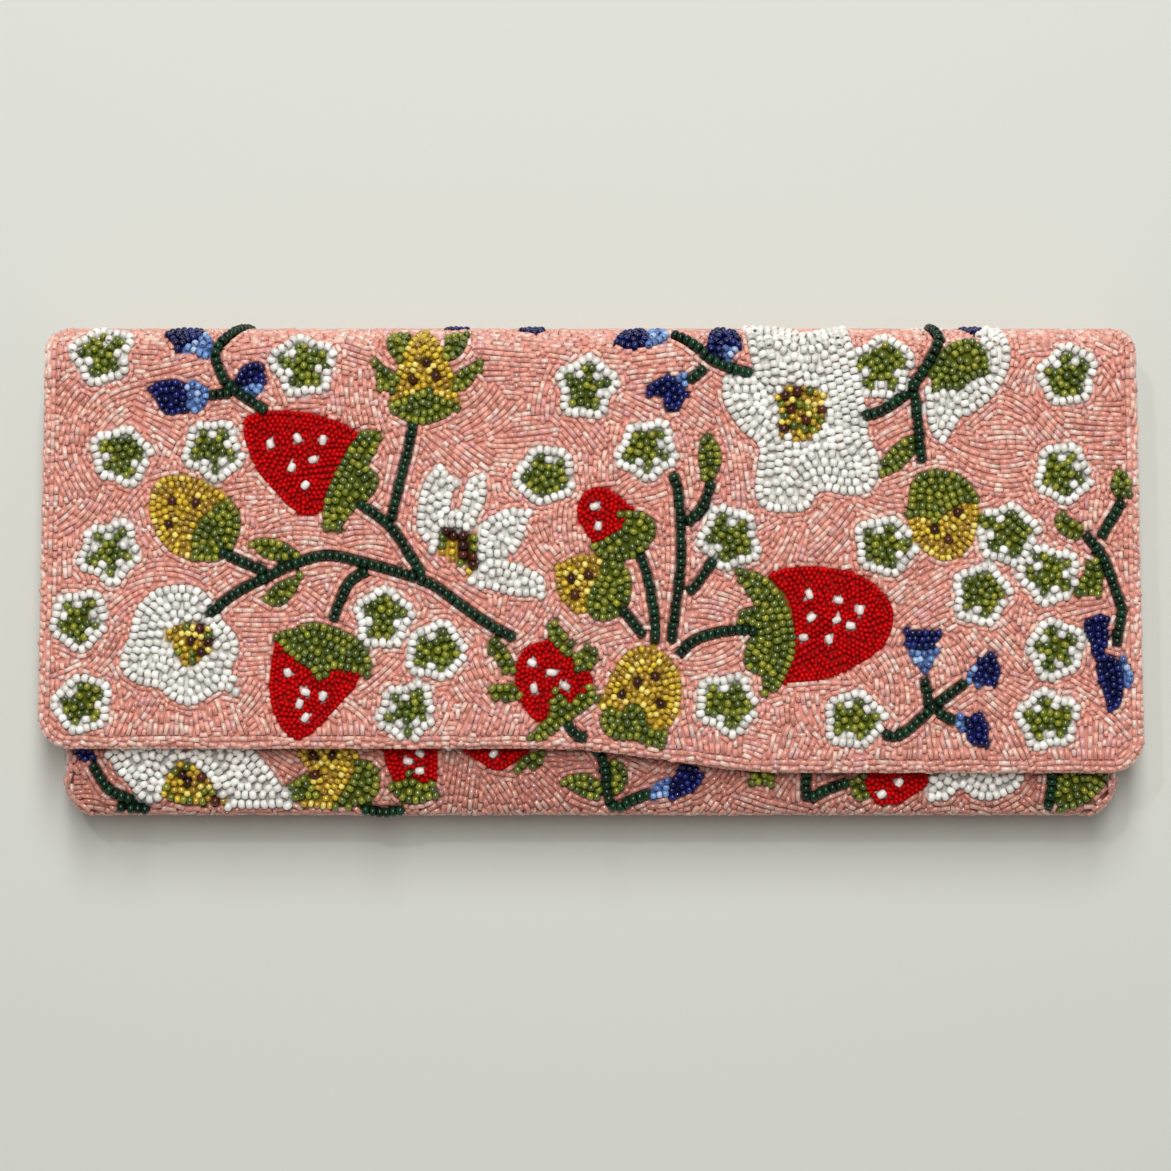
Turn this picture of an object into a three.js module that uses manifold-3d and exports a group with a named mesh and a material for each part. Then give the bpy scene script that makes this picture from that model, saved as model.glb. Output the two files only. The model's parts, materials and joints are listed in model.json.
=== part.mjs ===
// A fold-over clutch purse covered in glass beads, lying on its back.
// Millimetres, +Z up, +X right, +Y towards the fold. The purse is one wrapped case: the back panel,
// a soft fold of three strips, and the flap that comes down over the front panel and its base.
import * as THREE from "three";
import { mergeVertices } from "three/addons/utils/BufferGeometryUtils.js";
import Module from "manifold-3d";

const wasm = await Module();
wasm.setup();

// Overall sizes.
const caseDepth = 125.2; // from the base to the outside of the fold
const caseHeight = 26.6;
const bodyWidth = 269;
const flapWidthAtFold = 279.2;
const flapWidthAtEdge = 282;
const flapLengthLeft = 99.6; // from the crease to the flap's free edge
const flapLengthRight = 105.8;
const edgeStepStart = -12; // the free edge steps from one length to the other between these places
const edgeStepEnd = 52;

// Corners seen from above.
const bodyCornerRadius = 6;
const flapCornerRadius = 7;

// Layers of a panel, from the outside in. The beads are sewn on a cloth at height 0.
const beadDepth = 1.6;
const paddingThickness = 1.2;
const boardThickness = 1;
const liningThickness = 0.5;
const layerGap = 0.1;
const rimThickness = 1.6; // the beaded edge around the flap and along the mouth
const boardInset = 2.4;
const liningInset = 2;
const creaseRelief = 2; // how much further the boards stop short of a crease than the lining does

// The fold: three strips, each turned a little more than the last.
const foldTurn = Math.PI / 4;
const stripClearance = 0.15;
const stripNames = ["fold_lower", "fold_middle", "fold_upper"];
const stripSpread = [0, 0.1, 0.25, 1]; // share of the widening from body to flap at each crease

// The front panel and the pocket space behind it.
const mouthSetback = 8; // from the crease to the front's upper edge
const gussetThickness = 0.6;
const gussetFoldDepth = 9;
const gussetSetback = 2;
const gussetGap = 0.25;
const gussetEndGap = 1.5;

// The slip pocket sewn on the back lining.
const pocketWidth = 150;
const pocketHeight = 72;
const pocketThickness = 0.5;
const pocketLift = 0.6;
const pocketSeam = 3;
const pocketBindingWidth = 5;
const pocketBindingThickness = 0.3;
const pocketToBase = 12;

// The magnetic snap.
const snapToFlapEdge = 15; // from its centre to the shorter side of the flap's edge
const snapRadius = 9;
const snapWall = 0.6;
const snapCapHeight = 2.2;
const snapHoleRadius = 3.4;
const snapHoleClearance = 0.6;
const studDiscThickness = 1.25;
const studPostLength = 1.95;
const snapContactGap = 0.15; // between the stud and the cap when the purse is closed
const snapPlateThickness = 0.4;
const washerThickness = 0.4;
const washerRadius = 7;
const legWidth = 3;
const legThickness = 0.6;
const legSpacing = 3.4;
const slotClearance = 0.2;
const seatClearance = 0.3; // around a snap piece in a hole cut for it
const roundSides = 48;

// Heights within a panel, measured inwards from the cloth.
const paddingAt = layerGap;
const boardAt = paddingAt + paddingThickness + layerGap;
const liningAt = boardAt + boardThickness + layerGap;
const panelInside = liningAt + liningThickness;
const frontLiningAt = liningAt + washerThickness + 2 * layerGap;
const frontInside = frontLiningAt + liningThickness;

// Places worked out from the sizes above.
const backCloth = beadDepth;
const flapCloth = caseHeight - beadDepth;
const socketPlateAt = boardAt - layerGap - snapPlateThickness;
const socketCapAt = socketPlateAt - layerGap - snapCapHeight; // negative: the cap stands above the cloth
const studFace = panelInside + layerGap + studDiscThickness;
const frontCloth = flapCloth - studFace - snapContactGap + socketCapAt;
const stripLength = (flapCloth - backCloth) / (1 + 2 * Math.sin(foldTurn));
const foldReach = stripLength * Math.cos(foldTurn);
const foldCrease = caseDepth / 2 - beadDepth - foldReach;
const baseCrease = -caseDepth / 2 + beadDepth;
const mouthEdge = foldCrease - mouthSetback;
const bodyHalf = bodyWidth / 2;
const flapHalf = flapWidthAtFold / 2;
const creaseClearance = panelInside * Math.tan(foldTurn / 2) + seatClearance;
const snapPlace = foldCrease - Math.min(flapLengthLeft, flapLengthRight) + snapToFlapEdge;
const creaseHalves = stripSpread.map((share) => bodyHalf + (flapHalf - bodyHalf) * share);

const looks = {
  beads: { color: 0xde968c, roughness: 0.25, metalness: 0 },
  lining: { color: 0xe9cfc4, roughness: 0.45, metalness: 0 },
  board: { color: 0xb9a58a, roughness: 0.9, metalness: 0 },
  padding: { color: 0xf2efe9, roughness: 1, metalness: 0 },
  snapMetal: { color: 0xd8b66a, roughness: 0.25, metalness: 1 },
  magnet: { color: 0x55565a, roughness: 0.4, metalness: 0.8 },
};

function named(name, look, geometry) {
  const mesh = new THREE.Mesh(geometry, new THREE.MeshStandardMaterial(looks[look]));
  mesh.name = name;
  return mesh;
}

// A flat plate: the outline in X and Y, from one height to another.
function plate(outline, from, to) {
  const geometry = new THREE.ExtrudeGeometry(outline, {
    depth: to - from,
    bevelEnabled: false,
    curveSegments: 8,
  });
  return geometry.translate(0, 0, from);
}

function solid(geometry) {
  const bare = geometry.index ? geometry.toNonIndexed() : geometry.clone();
  bare.deleteAttribute("normal");
  bare.deleteAttribute("uv");
  const merged = mergeVertices(bare, 1e-4);
  const mesh = new wasm.Mesh({
    numProp: 3,
    vertProperties: merged.attributes.position.array,
    triVerts: new Uint32Array(merged.index.array),
  });
  return new wasm.Manifold(mesh);
}

function geometryOf(body) {
  const mesh = body.getMesh();
  const geometry = new THREE.BufferGeometry();
  geometry.setAttribute("position", new THREE.BufferAttribute(mesh.vertProperties, 3));
  geometry.setIndex(new THREE.BufferAttribute(mesh.triVerts, 1));
  geometry.computeVertexNormals();
  return geometry;
}

function joined(...geometries) {
  return geometryOf(geometries.map(solid).reduce((whole, piece) => whole.add(piece)));
}

function cut(geometry, ...cutters) {
  return geometryOf(cutters.map(solid).reduce((left, cutter) => left.subtract(cutter), solid(geometry)));
}

// A panel's outline: straight sides, with its near corners or its far corners rounded.
function trapezoid({ near, far, nearHalf, farHalf, nearRadius = 0, farRadius = 0 }) {
  const outline = new THREE.Shape();
  outline.moveTo(-nearHalf + nearRadius, near);
  outline.lineTo(nearHalf - nearRadius, near);
  roundedTo(outline, nearHalf - nearRadius, near + nearRadius, nearRadius, -Math.PI / 2);
  roundedTo(outline, farHalf - farRadius, far - farRadius, farRadius, 0);
  roundedTo(outline, -farHalf + farRadius, far - farRadius, farRadius, Math.PI / 2);
  roundedTo(outline, -nearHalf + nearRadius, near + nearRadius, nearRadius, Math.PI);
  return outline;
}

// A quarter turn at a corner, or the corner itself where its radius is nothing.
function roundedTo(outline, x, y, radius, angle) {
  if (radius > 0) {
    outline.absarc(x, y, radius, angle, angle + Math.PI / 2, false);
  } else {
    outline.lineTo(x, y);
  }
}

// How far the flap reaches from its crease: a smooth step between its two lengths.
function flapLength(x) {
  const along = THREE.MathUtils.smoothstep(x, edgeStepStart, edgeStepEnd);
  return flapLengthLeft + (flapLengthRight - flapLengthLeft) * along;
}

// The flap's outline, drawn in by an inset and starting some way from the crease.
function flapOutline(inset, near) {
  const radius = Math.max(flapCornerRadius - inset, 1);
  const nearHalf = flapHalf - inset;
  const farHalf = flapWidthAtEdge / 2 - inset;
  const steps = 24;
  const outline = new THREE.Shape();
  outline.moveTo(-nearHalf, near);
  outline.lineTo(nearHalf, near);
  outline.absarc(farHalf - radius, flapLengthRight - inset - radius, radius, 0, Math.PI / 2, false);
  for (let i = 1; i < steps; i++) {
    const x = (farHalf - radius) * (1 - (2 * i) / steps);
    outline.lineTo(x, flapLength(x) - inset);
  }
  outline.absarc(radius - farHalf, flapLengthLeft - inset - radius, radius, Math.PI / 2, Math.PI, false);
  return outline;
}

function circle(radius, y) {
  const outline = new THREE.Shape();
  outline.absarc(0, y, radius, 0, 2 * Math.PI, false);
  return outline;
}

// A round plate or, with a hole, a ring.
function disc(radius, hole, y, from, to) {
  const outline = circle(radius, y);
  if (hole > 0) {
    outline.holes.push(circle(hole, y));
  }
  const geometry = new THREE.ExtrudeGeometry(outline, {
    depth: to - from,
    bevelEnabled: false,
    curveSegments: roundSides,
  });
  return geometry.translate(0, 0, from);
}

// The two legs of a snap piece, or with a clearance the slots they pass through.
function legs(y, from, to, clearance) {
  return [-1, 1].map((side) => {
    const width = legThickness + 2 * clearance;
    const leg = new THREE.BoxGeometry(width, legWidth + 2 * clearance, to - from);
    return leg.translate(side * legSpacing, y, (from + to) / 2);
  });
}

// A panel whose layers are stacked inwards from its cloth, as a group with +Z to the inside.
function bodyPanel(name, { near, far, liningHeight, holes }) {
  const outer = trapezoid({ near, far, nearHalf: bodyHalf, farHalf: bodyHalf, nearRadius: bodyCornerRadius });
  const inner = (inset) =>
    trapezoid({
      near: near + inset,
      far: far - creaseClearance - (inset > liningInset ? creaseRelief : 0),
      nearHalf: bodyHalf - inset,
      farHalf: bodyHalf - inset,
      nearRadius: bodyCornerRadius - liningInset,
    });
  const boards = inner(boardInset);
  const layers = {
    beadwork: plate(outer, -beadDepth, 0),
    padding: plate(boards, paddingAt, paddingAt + paddingThickness),
    board: plate(boards, boardAt, boardAt + boardThickness),
    lining: plate(inner(liningInset), liningHeight, liningHeight + liningThickness),
  };
  const group = new THREE.Group();
  for (const [layer, geometry] of Object.entries(layers)) {
    const cutters = holes[layer] ?? [];
    const look = layer === "beadwork" ? "beads" : layer;
    const shape = cutters.length ? cut(geometry, ...cutters) : geometry;
    group.add(named(name + "_" + layer, look, shape));
  }
  return group;
}

// The back panel lies on its beads, with the slip pocket on its lining.
function backPanel() {
  const panel = bodyPanel("back", {
    near: baseCrease + stripClearance,
    far: foldCrease - stripClearance,
    liningHeight: liningAt,
    holes: {},
  });
  panel.position.z = backCloth;
  panel.add(...slipPocket());
  return panel;
}

function slipPocket() {
  const low = baseCrease + pocketToBase;
  const high = low + pocketHeight;
  const half = pocketWidth / 2;
  const seamTop = panelInside + layerGap + pocketLift;
  const top = seamTop + pocketThickness;
  const sheet = trapezoid({ near: low, far: high, nearHalf: half, farHalf: half });
  const space = trapezoid({
    near: low + pocketSeam,
    far: high + pocketSeam,
    nearHalf: half - pocketSeam,
    farHalf: half - pocketSeam,
  });
  const pocket = cut(plate(sheet, panelInside + layerGap, top), plate(space, panelInside, seamTop));
  const binding = trapezoid({ near: high - pocketBindingWidth, far: high, nearHalf: half, farHalf: half });
  const bindingAt = top + layerGap;
  return [
    named("slip_pocket", "lining", pocket),
    named("slip_pocket_binding", "lining", plate(binding, bindingAt, bindingAt + pocketBindingThickness)),
  ];
}

// A side gusset: a strip of satin folded inwards between the back and the front.
function gusset(name, side) {
  const low = backCloth + panelInside + gussetGap;
  const high = frontCloth - frontInside - gussetGap;
  const middle = (low + high) / 2;
  const outside = bodyHalf - gussetSetback;
  const fold = outside - gussetFoldDepth;
  const profile = new THREE.Shape([
    new THREE.Vector2(side * outside, low),
    new THREE.Vector2(side * (outside + gussetThickness), low),
    new THREE.Vector2(side * (fold + gussetThickness), middle),
    new THREE.Vector2(side * (outside + gussetThickness), high),
    new THREE.Vector2(side * outside, high),
    new THREE.Vector2(side * fold, middle),
  ]);
  const start = baseCrease + liningInset + gussetEndGap;
  const geometry = new THREE.ExtrudeGeometry(profile, {
    depth: mouthEdge - gussetEndGap - start,
    bevelEnabled: false,
  });
  const mesh = named(name, "lining", geometry);
  mesh.rotation.x = Math.PI / 2;
  mesh.position.y = mouthEdge - gussetEndGap;
  return mesh;
}

// The base stands on the crease at the back panel's lower edge.
function basePanel() {
  const top = frontCloth - backCloth - layerGap;
  const half = bodyHalf - bodyCornerRadius;
  const wall = trapezoid({ near: stripClearance, far: top, nearHalf: half, farHalf: half });
  const inner = trapezoid({
    near: panelInside + stripClearance,
    far: frontCloth - frontInside - backCloth - layerGap,
    nearHalf: half - boardInset,
    farHalf: half - boardInset,
  });
  const liningHeight = layerGap + boardThickness + layerGap;
  const group = new THREE.Group();
  group.rotation.set(Math.PI / 2, Math.PI, 0);
  group.add(named("base_beadwork", "beads", plate(wall, -beadDepth, 0)));
  group.add(named("base_board", "board", plate(inner, layerGap, layerGap + boardThickness)));
  group.add(named("base_lining", "lining", plate(inner, liningHeight, liningHeight + liningThickness)));
  return group;
}

// The front panel: its layers are cut out around the snap's socket.
function frontPanel() {
  const y = snapPlace - baseCrease;
  const seat = snapRadius + seatClearance;
  const slots = legs(y, paddingAt, frontInside, slotClearance);
  const far = mouthEdge - baseCrease;
  const panel = bodyPanel("front", {
    near: -beadDepth,
    far,
    liningHeight: frontLiningAt,
    holes: {
      beadwork: [disc(seat, 0, y, -2 * beadDepth, beadDepth)],
      padding: [disc(seat, 0, y, -beadDepth, boardAt - layerGap / 2)],
      board: slots,
    },
  });
  const mouth = trapezoid({
    near: far + layerGap,
    far: far + layerGap + rimThickness,
    nearHalf: bodyHalf,
    farHalf: bodyHalf,
  });
  panel.add(named("mouth_edge_beading", "beads", plate(mouth, -beadDepth, liningAt - layerGap)));
  panel.add(...snapSocket(y));
  panel.rotation.y = Math.PI;
  panel.position.z = frontCloth - backCloth;
  return panel;
}

// The socket: a plate whose legs pass through the board into a washer, a ring magnet, and a cap.
function snapSocket(y) {
  const plateTop = socketPlateAt;
  const capFoot = plateTop - layerGap;
  const capTop = socketCapAt;
  const washerAt = boardAt + boardThickness + layerGap;
  const legEnd = washerAt + washerThickness;
  const inside = snapRadius - snapWall;
  const capRing = disc(snapRadius, snapHoleRadius, y, capTop, capFoot);
  const hollow = disc(inside, 0, y, capTop + snapWall, capFoot + layerGap);
  const magnetHole = snapHoleRadius + seatClearance;
  return [
    named("snap_cap", "snapMetal", cut(capRing, hollow)),
    named(
      "snap_magnet",
      "magnet",
      disc(inside - layerGap, magnetHole, y, capTop + snapWall + layerGap, capFoot),
    ),
    named(
      "snap_plate",
      "snapMetal",
      joined(
        disc(snapRadius, 0, y, plateTop, plateTop + snapPlateThickness),
        ...legs(y, plateTop + snapPlateThickness / 2, legEnd, 0),
      ),
    ),
    named(
      "snap_washer",
      "snapMetal",
      cut(
        disc(washerRadius, 0, y, washerAt, washerAt + washerThickness),
        ...legs(y, boardAt, frontInside, slotClearance),
      ),
    ),
  ];
}

// One strip of the fold: beads outside, lining inside, narrower on its inner side.
function foldStrip(name, nearHalf, farHalf) {
  const beads = trapezoid({
    near: stripClearance,
    far: stripLength - stripClearance,
    nearHalf,
    farHalf,
  });
  const relief = (layerGap + liningThickness) * Math.tan(foldTurn / 2) + stripClearance;
  const lining = trapezoid({
    near: relief,
    far: stripLength - relief,
    nearHalf: nearHalf - liningInset,
    farHalf: farHalf - liningInset,
  });
  const group = new THREE.Group();
  group.rotation.x = foldTurn;
  group.add(named(name + "_beadwork", "beads", plate(beads, -beadDepth, 0)));
  group.add(named(name + "_lining", "lining", plate(lining, layerGap, layerGap + liningThickness)));
  return group;
}

// The flap, with a beaded rim around its three free edges and the snap's stud on its lining.
function flapPanel() {
  const y = foldCrease - snapPlace;
  const start = creaseClearance;
  const boardStart = start + creaseRelief;
  const studFoot = panelInside + layerGap;
  const washerAt = boardAt - layerGap - washerThickness;
  const slots = legs(y, washerAt - beadDepth, studFoot + layerGap, slotClearance);
  const seat = disc(washerRadius + seatClearance, 0, y, -beadDepth, boardAt - layerGap / 2);
  const rimInside = rimThickness + layerGap;
  const padding = plate(flapOutline(boardInset, boardStart), paddingAt, paddingAt + paddingThickness);
  const board = plate(flapOutline(boardInset, boardStart), boardAt, boardAt + boardThickness);
  const lining = plate(flapOutline(rimInside, start), liningAt, panelInside);
  const rim = cut(
    plate(flapOutline(0, start), layerGap, panelInside),
    plate(flapOutline(rimThickness, -start), -layerGap, panelInside + layerGap),
  );
  const stud = joined(
    disc(snapRadius, 0, y, studFoot, studFoot + studDiscThickness),
    disc(
      snapHoleRadius - snapHoleClearance,
      0,
      y,
      studFoot + studDiscThickness / 2,
      studFoot + studDiscThickness + studPostLength,
    ),
    ...legs(y, washerAt, studFoot + studDiscThickness / 2, 0),
  );
  const washer = cut(disc(washerRadius, 0, y, washerAt, washerAt + washerThickness), ...slots);
  const group = new THREE.Group();
  group.rotation.x = foldTurn;
  group.add(named("flap_beadwork", "beads", plate(flapOutline(0, stripClearance), -beadDepth, 0)));
  group.add(named("flap_edge_beading", "beads", rim));
  group.add(named("flap_padding", "padding", cut(padding, seat)));
  group.add(named("flap_board", "board", cut(board, ...slots)));
  group.add(named("flap_lining", "lining", cut(lining, ...slots)));
  group.add(named("snap_stud", "snapMetal", stud));
  group.add(named("snap_stud_washer", "snapMetal", washer));
  return group;
}

// The strips and then the flap, each turned on the far crease of the one before.
function foldAndFlap() {
  const first = new THREE.Group();
  first.position.set(0, foldCrease, backCloth);
  let holder = first;
  stripNames.forEach((name, i) => {
    const strip = foldStrip(name, creaseHalves[i], creaseHalves[i + 1]);
    holder.add(strip);
    const crease = new THREE.Group();
    crease.position.y = stripLength;
    strip.add(crease);
    holder = crease;
  });
  holder.add(flapPanel());
  return first;
}

function frontAndBase() {
  const group = new THREE.Group();
  group.position.set(0, baseCrease, backCloth);
  group.add(basePanel(), frontPanel());
  return group;
}

const purse = new THREE.Group();
purse.add(backPanel(), gusset("gusset_left", -1), gusset("gusset_right", 1));
purse.add(frontAndBase());
purse.add(foldAndFlap());

export default purse;
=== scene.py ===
import json
import math
import bpy
import numpy as np
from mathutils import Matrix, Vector


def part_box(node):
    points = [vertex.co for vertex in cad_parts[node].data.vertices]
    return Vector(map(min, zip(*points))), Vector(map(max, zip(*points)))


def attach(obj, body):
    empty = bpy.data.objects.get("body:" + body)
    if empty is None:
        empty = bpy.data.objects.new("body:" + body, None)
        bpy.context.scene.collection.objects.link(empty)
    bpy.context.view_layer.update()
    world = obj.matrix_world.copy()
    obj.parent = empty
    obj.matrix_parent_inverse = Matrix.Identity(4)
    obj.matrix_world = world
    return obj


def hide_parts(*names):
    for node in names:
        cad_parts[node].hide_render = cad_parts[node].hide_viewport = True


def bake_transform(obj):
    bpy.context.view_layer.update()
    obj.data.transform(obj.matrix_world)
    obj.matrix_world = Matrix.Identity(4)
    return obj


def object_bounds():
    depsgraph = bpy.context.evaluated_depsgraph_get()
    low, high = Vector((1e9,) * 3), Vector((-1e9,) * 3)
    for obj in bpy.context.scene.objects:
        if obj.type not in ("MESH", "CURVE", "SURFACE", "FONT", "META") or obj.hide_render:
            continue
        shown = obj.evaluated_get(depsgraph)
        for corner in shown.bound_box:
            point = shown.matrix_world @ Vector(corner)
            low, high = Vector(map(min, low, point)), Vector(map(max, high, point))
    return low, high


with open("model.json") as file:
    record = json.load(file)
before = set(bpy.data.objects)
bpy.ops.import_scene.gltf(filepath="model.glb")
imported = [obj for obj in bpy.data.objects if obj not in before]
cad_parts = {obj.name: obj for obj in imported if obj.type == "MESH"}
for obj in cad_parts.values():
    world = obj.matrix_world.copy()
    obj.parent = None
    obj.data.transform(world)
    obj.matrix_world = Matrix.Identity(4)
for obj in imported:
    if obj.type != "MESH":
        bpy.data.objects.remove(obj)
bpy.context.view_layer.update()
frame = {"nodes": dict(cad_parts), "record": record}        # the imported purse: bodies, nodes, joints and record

dice = np.random.default_rng(2207)


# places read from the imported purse, in millimetres
def nodeBox(node):
    return [np.array(corner) * 1000 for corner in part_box(node)]


creases = {}
for joint in frame["record"]["behaviour"]["joints"]:
    creases[joint["name"]] = np.array(joint["pos_m"]) * 1000

flapLow, flapHigh = nodeBox("flap_beadwork")
frontHigh = nodeBox("front_beadwork")[1]
beadDepth = flapHigh[2] - flapLow[2]
place = {
    "crease": creases["flap_crease"][1],     # where the flap and the back meet the fold
    "base": creases["mouth"][1],             # where the base stands on the back
    "mouth": frontHigh[1],
    "flapCloth": creases["flap_crease"][2],
    "backCloth": creases["fold_lower_crease"][2],
    "frontCloth": frontHigh[2] - beadDepth,
    "foldHalfHeight": (creases["flap_crease"][2] - creases["fold_lower_crease"][2]) / 2,
    "flapHalf": flapHigh[0],
    "flapHalfAtFold": nodeBox("fold_upper_beadwork")[1][0],
    "bodyHalf": frontHigh[0],
    "edgeRight": flapLow[1],
    "edgeLeft": flapLow[1] + 6.2,
}
outline = {"flapCorner": 9.0, "bodyCorner": 8.5, "foldCorner": 3.0, "stepFrom": -12.0, "stepTo": 52.0,
           "baseRoll": 3.0}
plump = {"flapHalf": 1.2, "flapHalfAtFold": 0.4, "bodyHalf": 1.0, "base": -0.9, "edgeRight": -0.2,
         "edgeLeft": -0.2}
for spot, extra in plump.items():     # the sewn beads stand out a little past the plain solids
    place[spot] += extra


def smoothStep(x, low, high):
    t = np.clip((x - low) / (high - low), 0, 1)
    return t * t * (3 - 2 * t)


def flapEdge(x):     # the free edge steps a little lower on the right
    return place["edgeLeft"] + (place["edgeRight"] - place["edgeLeft"]) * smoothStep(
        x, outline["stepFrom"], outline["stepTo"])


# the fold is half an ellipse between the flap and the back
foldDepth = (creases["fold_upper_crease"][1] - place["crease"]) / math.sqrt(
    1 - ((creases["fold_upper_crease"][2] - place["backCloth"]) / place["foldHalfHeight"] - 1) ** 2)
foldTurns = np.linspace(0, math.pi, 401)
foldSteps = np.hypot(foldDepth * np.cos(foldTurns), place["foldHalfHeight"] * np.sin(foldTurns))
foldRun = np.concatenate([[0], np.cumsum((foldSteps[1:] + foldSteps[:-1]) / 2 * np.diff(foldTurns))])
foldLength = foldRun[-1]
foldReach = 4.85     # how far the soft stretch goes on past the fold at either end
caseEnd = place["crease"] + foldLength + place["crease"] - place["base"]


def caseSurface(u, v):
    # the wrapped case laid flat: flap, then fold, then back; gives place, across, along and outward
    crease, half = place["crease"], place["foldHalfHeight"]
    s = np.clip(v - crease, 0, foldLength)
    turn = np.interp(s, foldRun, foldTurns)
    past = np.maximum(v - crease - foldLength, 0)
    y = np.where(v > crease, crease + foldDepth * np.sin(turn) - past, v)
    z = place["flapCloth"] - half + half * np.cos(turn)
    along = np.stack([0 * u, foldDepth * np.cos(turn), -half * np.sin(turn)], 1)
    flat = (v <= crease) | (past > 0)
    along[flat] = np.stack([0 * u, np.where(v <= crease, 1.0, -1.0), 0 * u], 1)[flat]
    along /= np.linalg.norm(along, axis=1)[:, None]
    across = np.tile([1.0, 0, 0], (len(u), 1))
    return np.stack([u, y, z], 1), across, along, np.cross(across, along)


def frontSurface(u, v):
    # the front panel laid flat, with the roll where it turns down onto the base
    roll = outline["baseRoll"]
    start = place["base"] + roll
    turn = np.clip((start - v) / roll, 0, math.pi / 2)
    y = np.where(v > start, v, start - roll * np.sin(turn))
    z = place["frontCloth"] - roll + roll * np.cos(turn)
    along = np.stack([0 * u, np.cos(turn), np.sin(turn)], 1)
    across = np.tile([1.0, 0, 0], (len(u), 1))
    return np.stack([u, y, z], 1), across, along, np.cross(across, along)


def baseSurface(u, v):
    # the base wall, which turns round the body's corners at both ends
    corner = outline["bodyCorner"]
    straight = place["bodyHalf"] - corner
    turn = np.clip((np.abs(u) - straight) / corner, 0, math.pi / 2)
    side = np.sign(u)
    x = np.where(turn > 0, side * (straight + corner * np.sin(turn)), u)
    y = place["base"] + corner - corner * np.cos(turn)
    across = np.stack([np.cos(turn), side * np.sin(turn), 0 * u], 1)
    along = np.tile([0, 0, 1.0], (len(u), 1))
    return np.stack([x, y, v], 1), across, along, np.cross(across, along)


def unrolled(y, start, depth, quarter):
    # a place seen from above, moved along the cloth where it rolls away
    over = y - start
    turned = np.arcsin(np.clip(over / depth, 0, 1)) / (math.pi / 2) * quarter
    return np.where(over <= 0, y, start + turned + np.maximum(over - depth, 0))


def onCase(points):
    points = np.array(points, float)
    points[:, 1] = unrolled(points[:, 1], place["crease"], foldDepth + 1.0, foldLength / 2)
    return points


def onFront(points):
    points = np.array(points, float)
    roll = outline["baseRoll"]
    points[:, 1] = -unrolled(-points[:, 1], -place["base"] - roll, roll + 1.2, roll * math.pi / 2)
    return points


# the next functions tell how far a spot lies inside a cloth's border
def roundedInside(dx, dy, radius):
    inCorner = (dx < radius) & (dy < radius)
    corner = radius - np.hypot(radius - dx, radius - dy)
    return np.where(inCorner, corner, np.minimum(dx, dy))


def caseHalf(v):
    crease, far = place["crease"], place["edgeRight"]
    wider = place["flapHalf"] - place["flapHalfAtFold"]
    flap = place["flapHalfAtFold"] + wider * (crease - v) / (crease - far)
    turn = np.interp(np.clip(v - crease, 0, foldLength), foldRun, foldTurns)
    tuck = smoothStep(np.cos(turn), -0.6, 0.5)
    fold = place["bodyHalf"] + (place["flapHalfAtFold"] - place["bodyHalf"]) * tuck
    corner = outline["foldCorner"]
    over = 0.97 * np.clip(foldDepth * np.sin(turn) - (foldDepth - corner), 0, corner)
    fold = fold - (corner - np.sqrt(corner ** 2 - over ** 2))
    return np.where(v < crease, flap, fold)


def insideCase(u, v):
    side = caseHalf(v) - np.abs(u)
    atFlap = roundedInside(side, v - flapEdge(u), outline["flapCorner"])
    atBack = roundedInside(side, caseEnd - v, outline["bodyCorner"])
    return np.minimum(atFlap, atBack)


def insideFront(u, v):
    plan = np.maximum(v, place["base"])
    side = roundedInside(place["bodyHalf"] - np.abs(u), plan - place["base"] + beadDepth,
                         outline["bodyCorner"])
    roll = outline["baseRoll"] * math.pi / 2
    low = place["base"] + outline["baseRoll"] - roll
    return np.minimum(side, np.minimum(v - low, place["mouth"] - v))


# half the base's run with its corners laid flat, and its upper edge
baseHalf = place["bodyHalf"] - outline["bodyCorner"] + outline["bodyCorner"] * math.pi / 2
baseTop = place["frontCloth"] - outline["baseRoll"]


def insideBase(u, v):
    return np.minimum(baseHalf - np.abs(u), np.minimum(v - place["backCloth"] - 0.3, baseTop - v))


# millimetres across the thread and along it, row pitch, sides, and how tight a fit is allowed
beadKinds = {
    "bugle": {"across": 1.26, "along": 2.9, "row": 1.2, "sides": 8, "fit": 0.84},
    "white": {"across": 2.45, "along": 1.9, "row": 2.1, "sides": 10, "fit": 0.74},
    "green": {"across": 2.15, "along": 1.75, "row": 1.85, "sides": 9, "fit": 0.72},
    "stem": {"across": 2.65, "along": 1.9, "row": 2.6, "sides": 10, "fit": 0.45},
    "red": {"across": 1.45, "along": 1.15, "row": 1.06, "sides": 7, "fit": 0.62},
    "gold": {"across": 1.85, "along": 1.55, "row": 1.55, "sides": 8, "fit": 0.7},
    "brown": {"across": 2.5, "along": 2.0, "row": 2.1, "sides": 9, "fit": 0.72},
    "navy": {"across": 1.9, "along": 1.6, "row": 1.7, "sides": 8, "fit": 0.76},
    "sky": {"across": 1.9, "along": 1.6, "row": 1.7, "sides": 8, "fit": 0.76},
    "fleck": {"across": 2.0, "along": 2.6, "row": 2.0, "sides": 10, "fit": 0.84},
}
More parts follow.
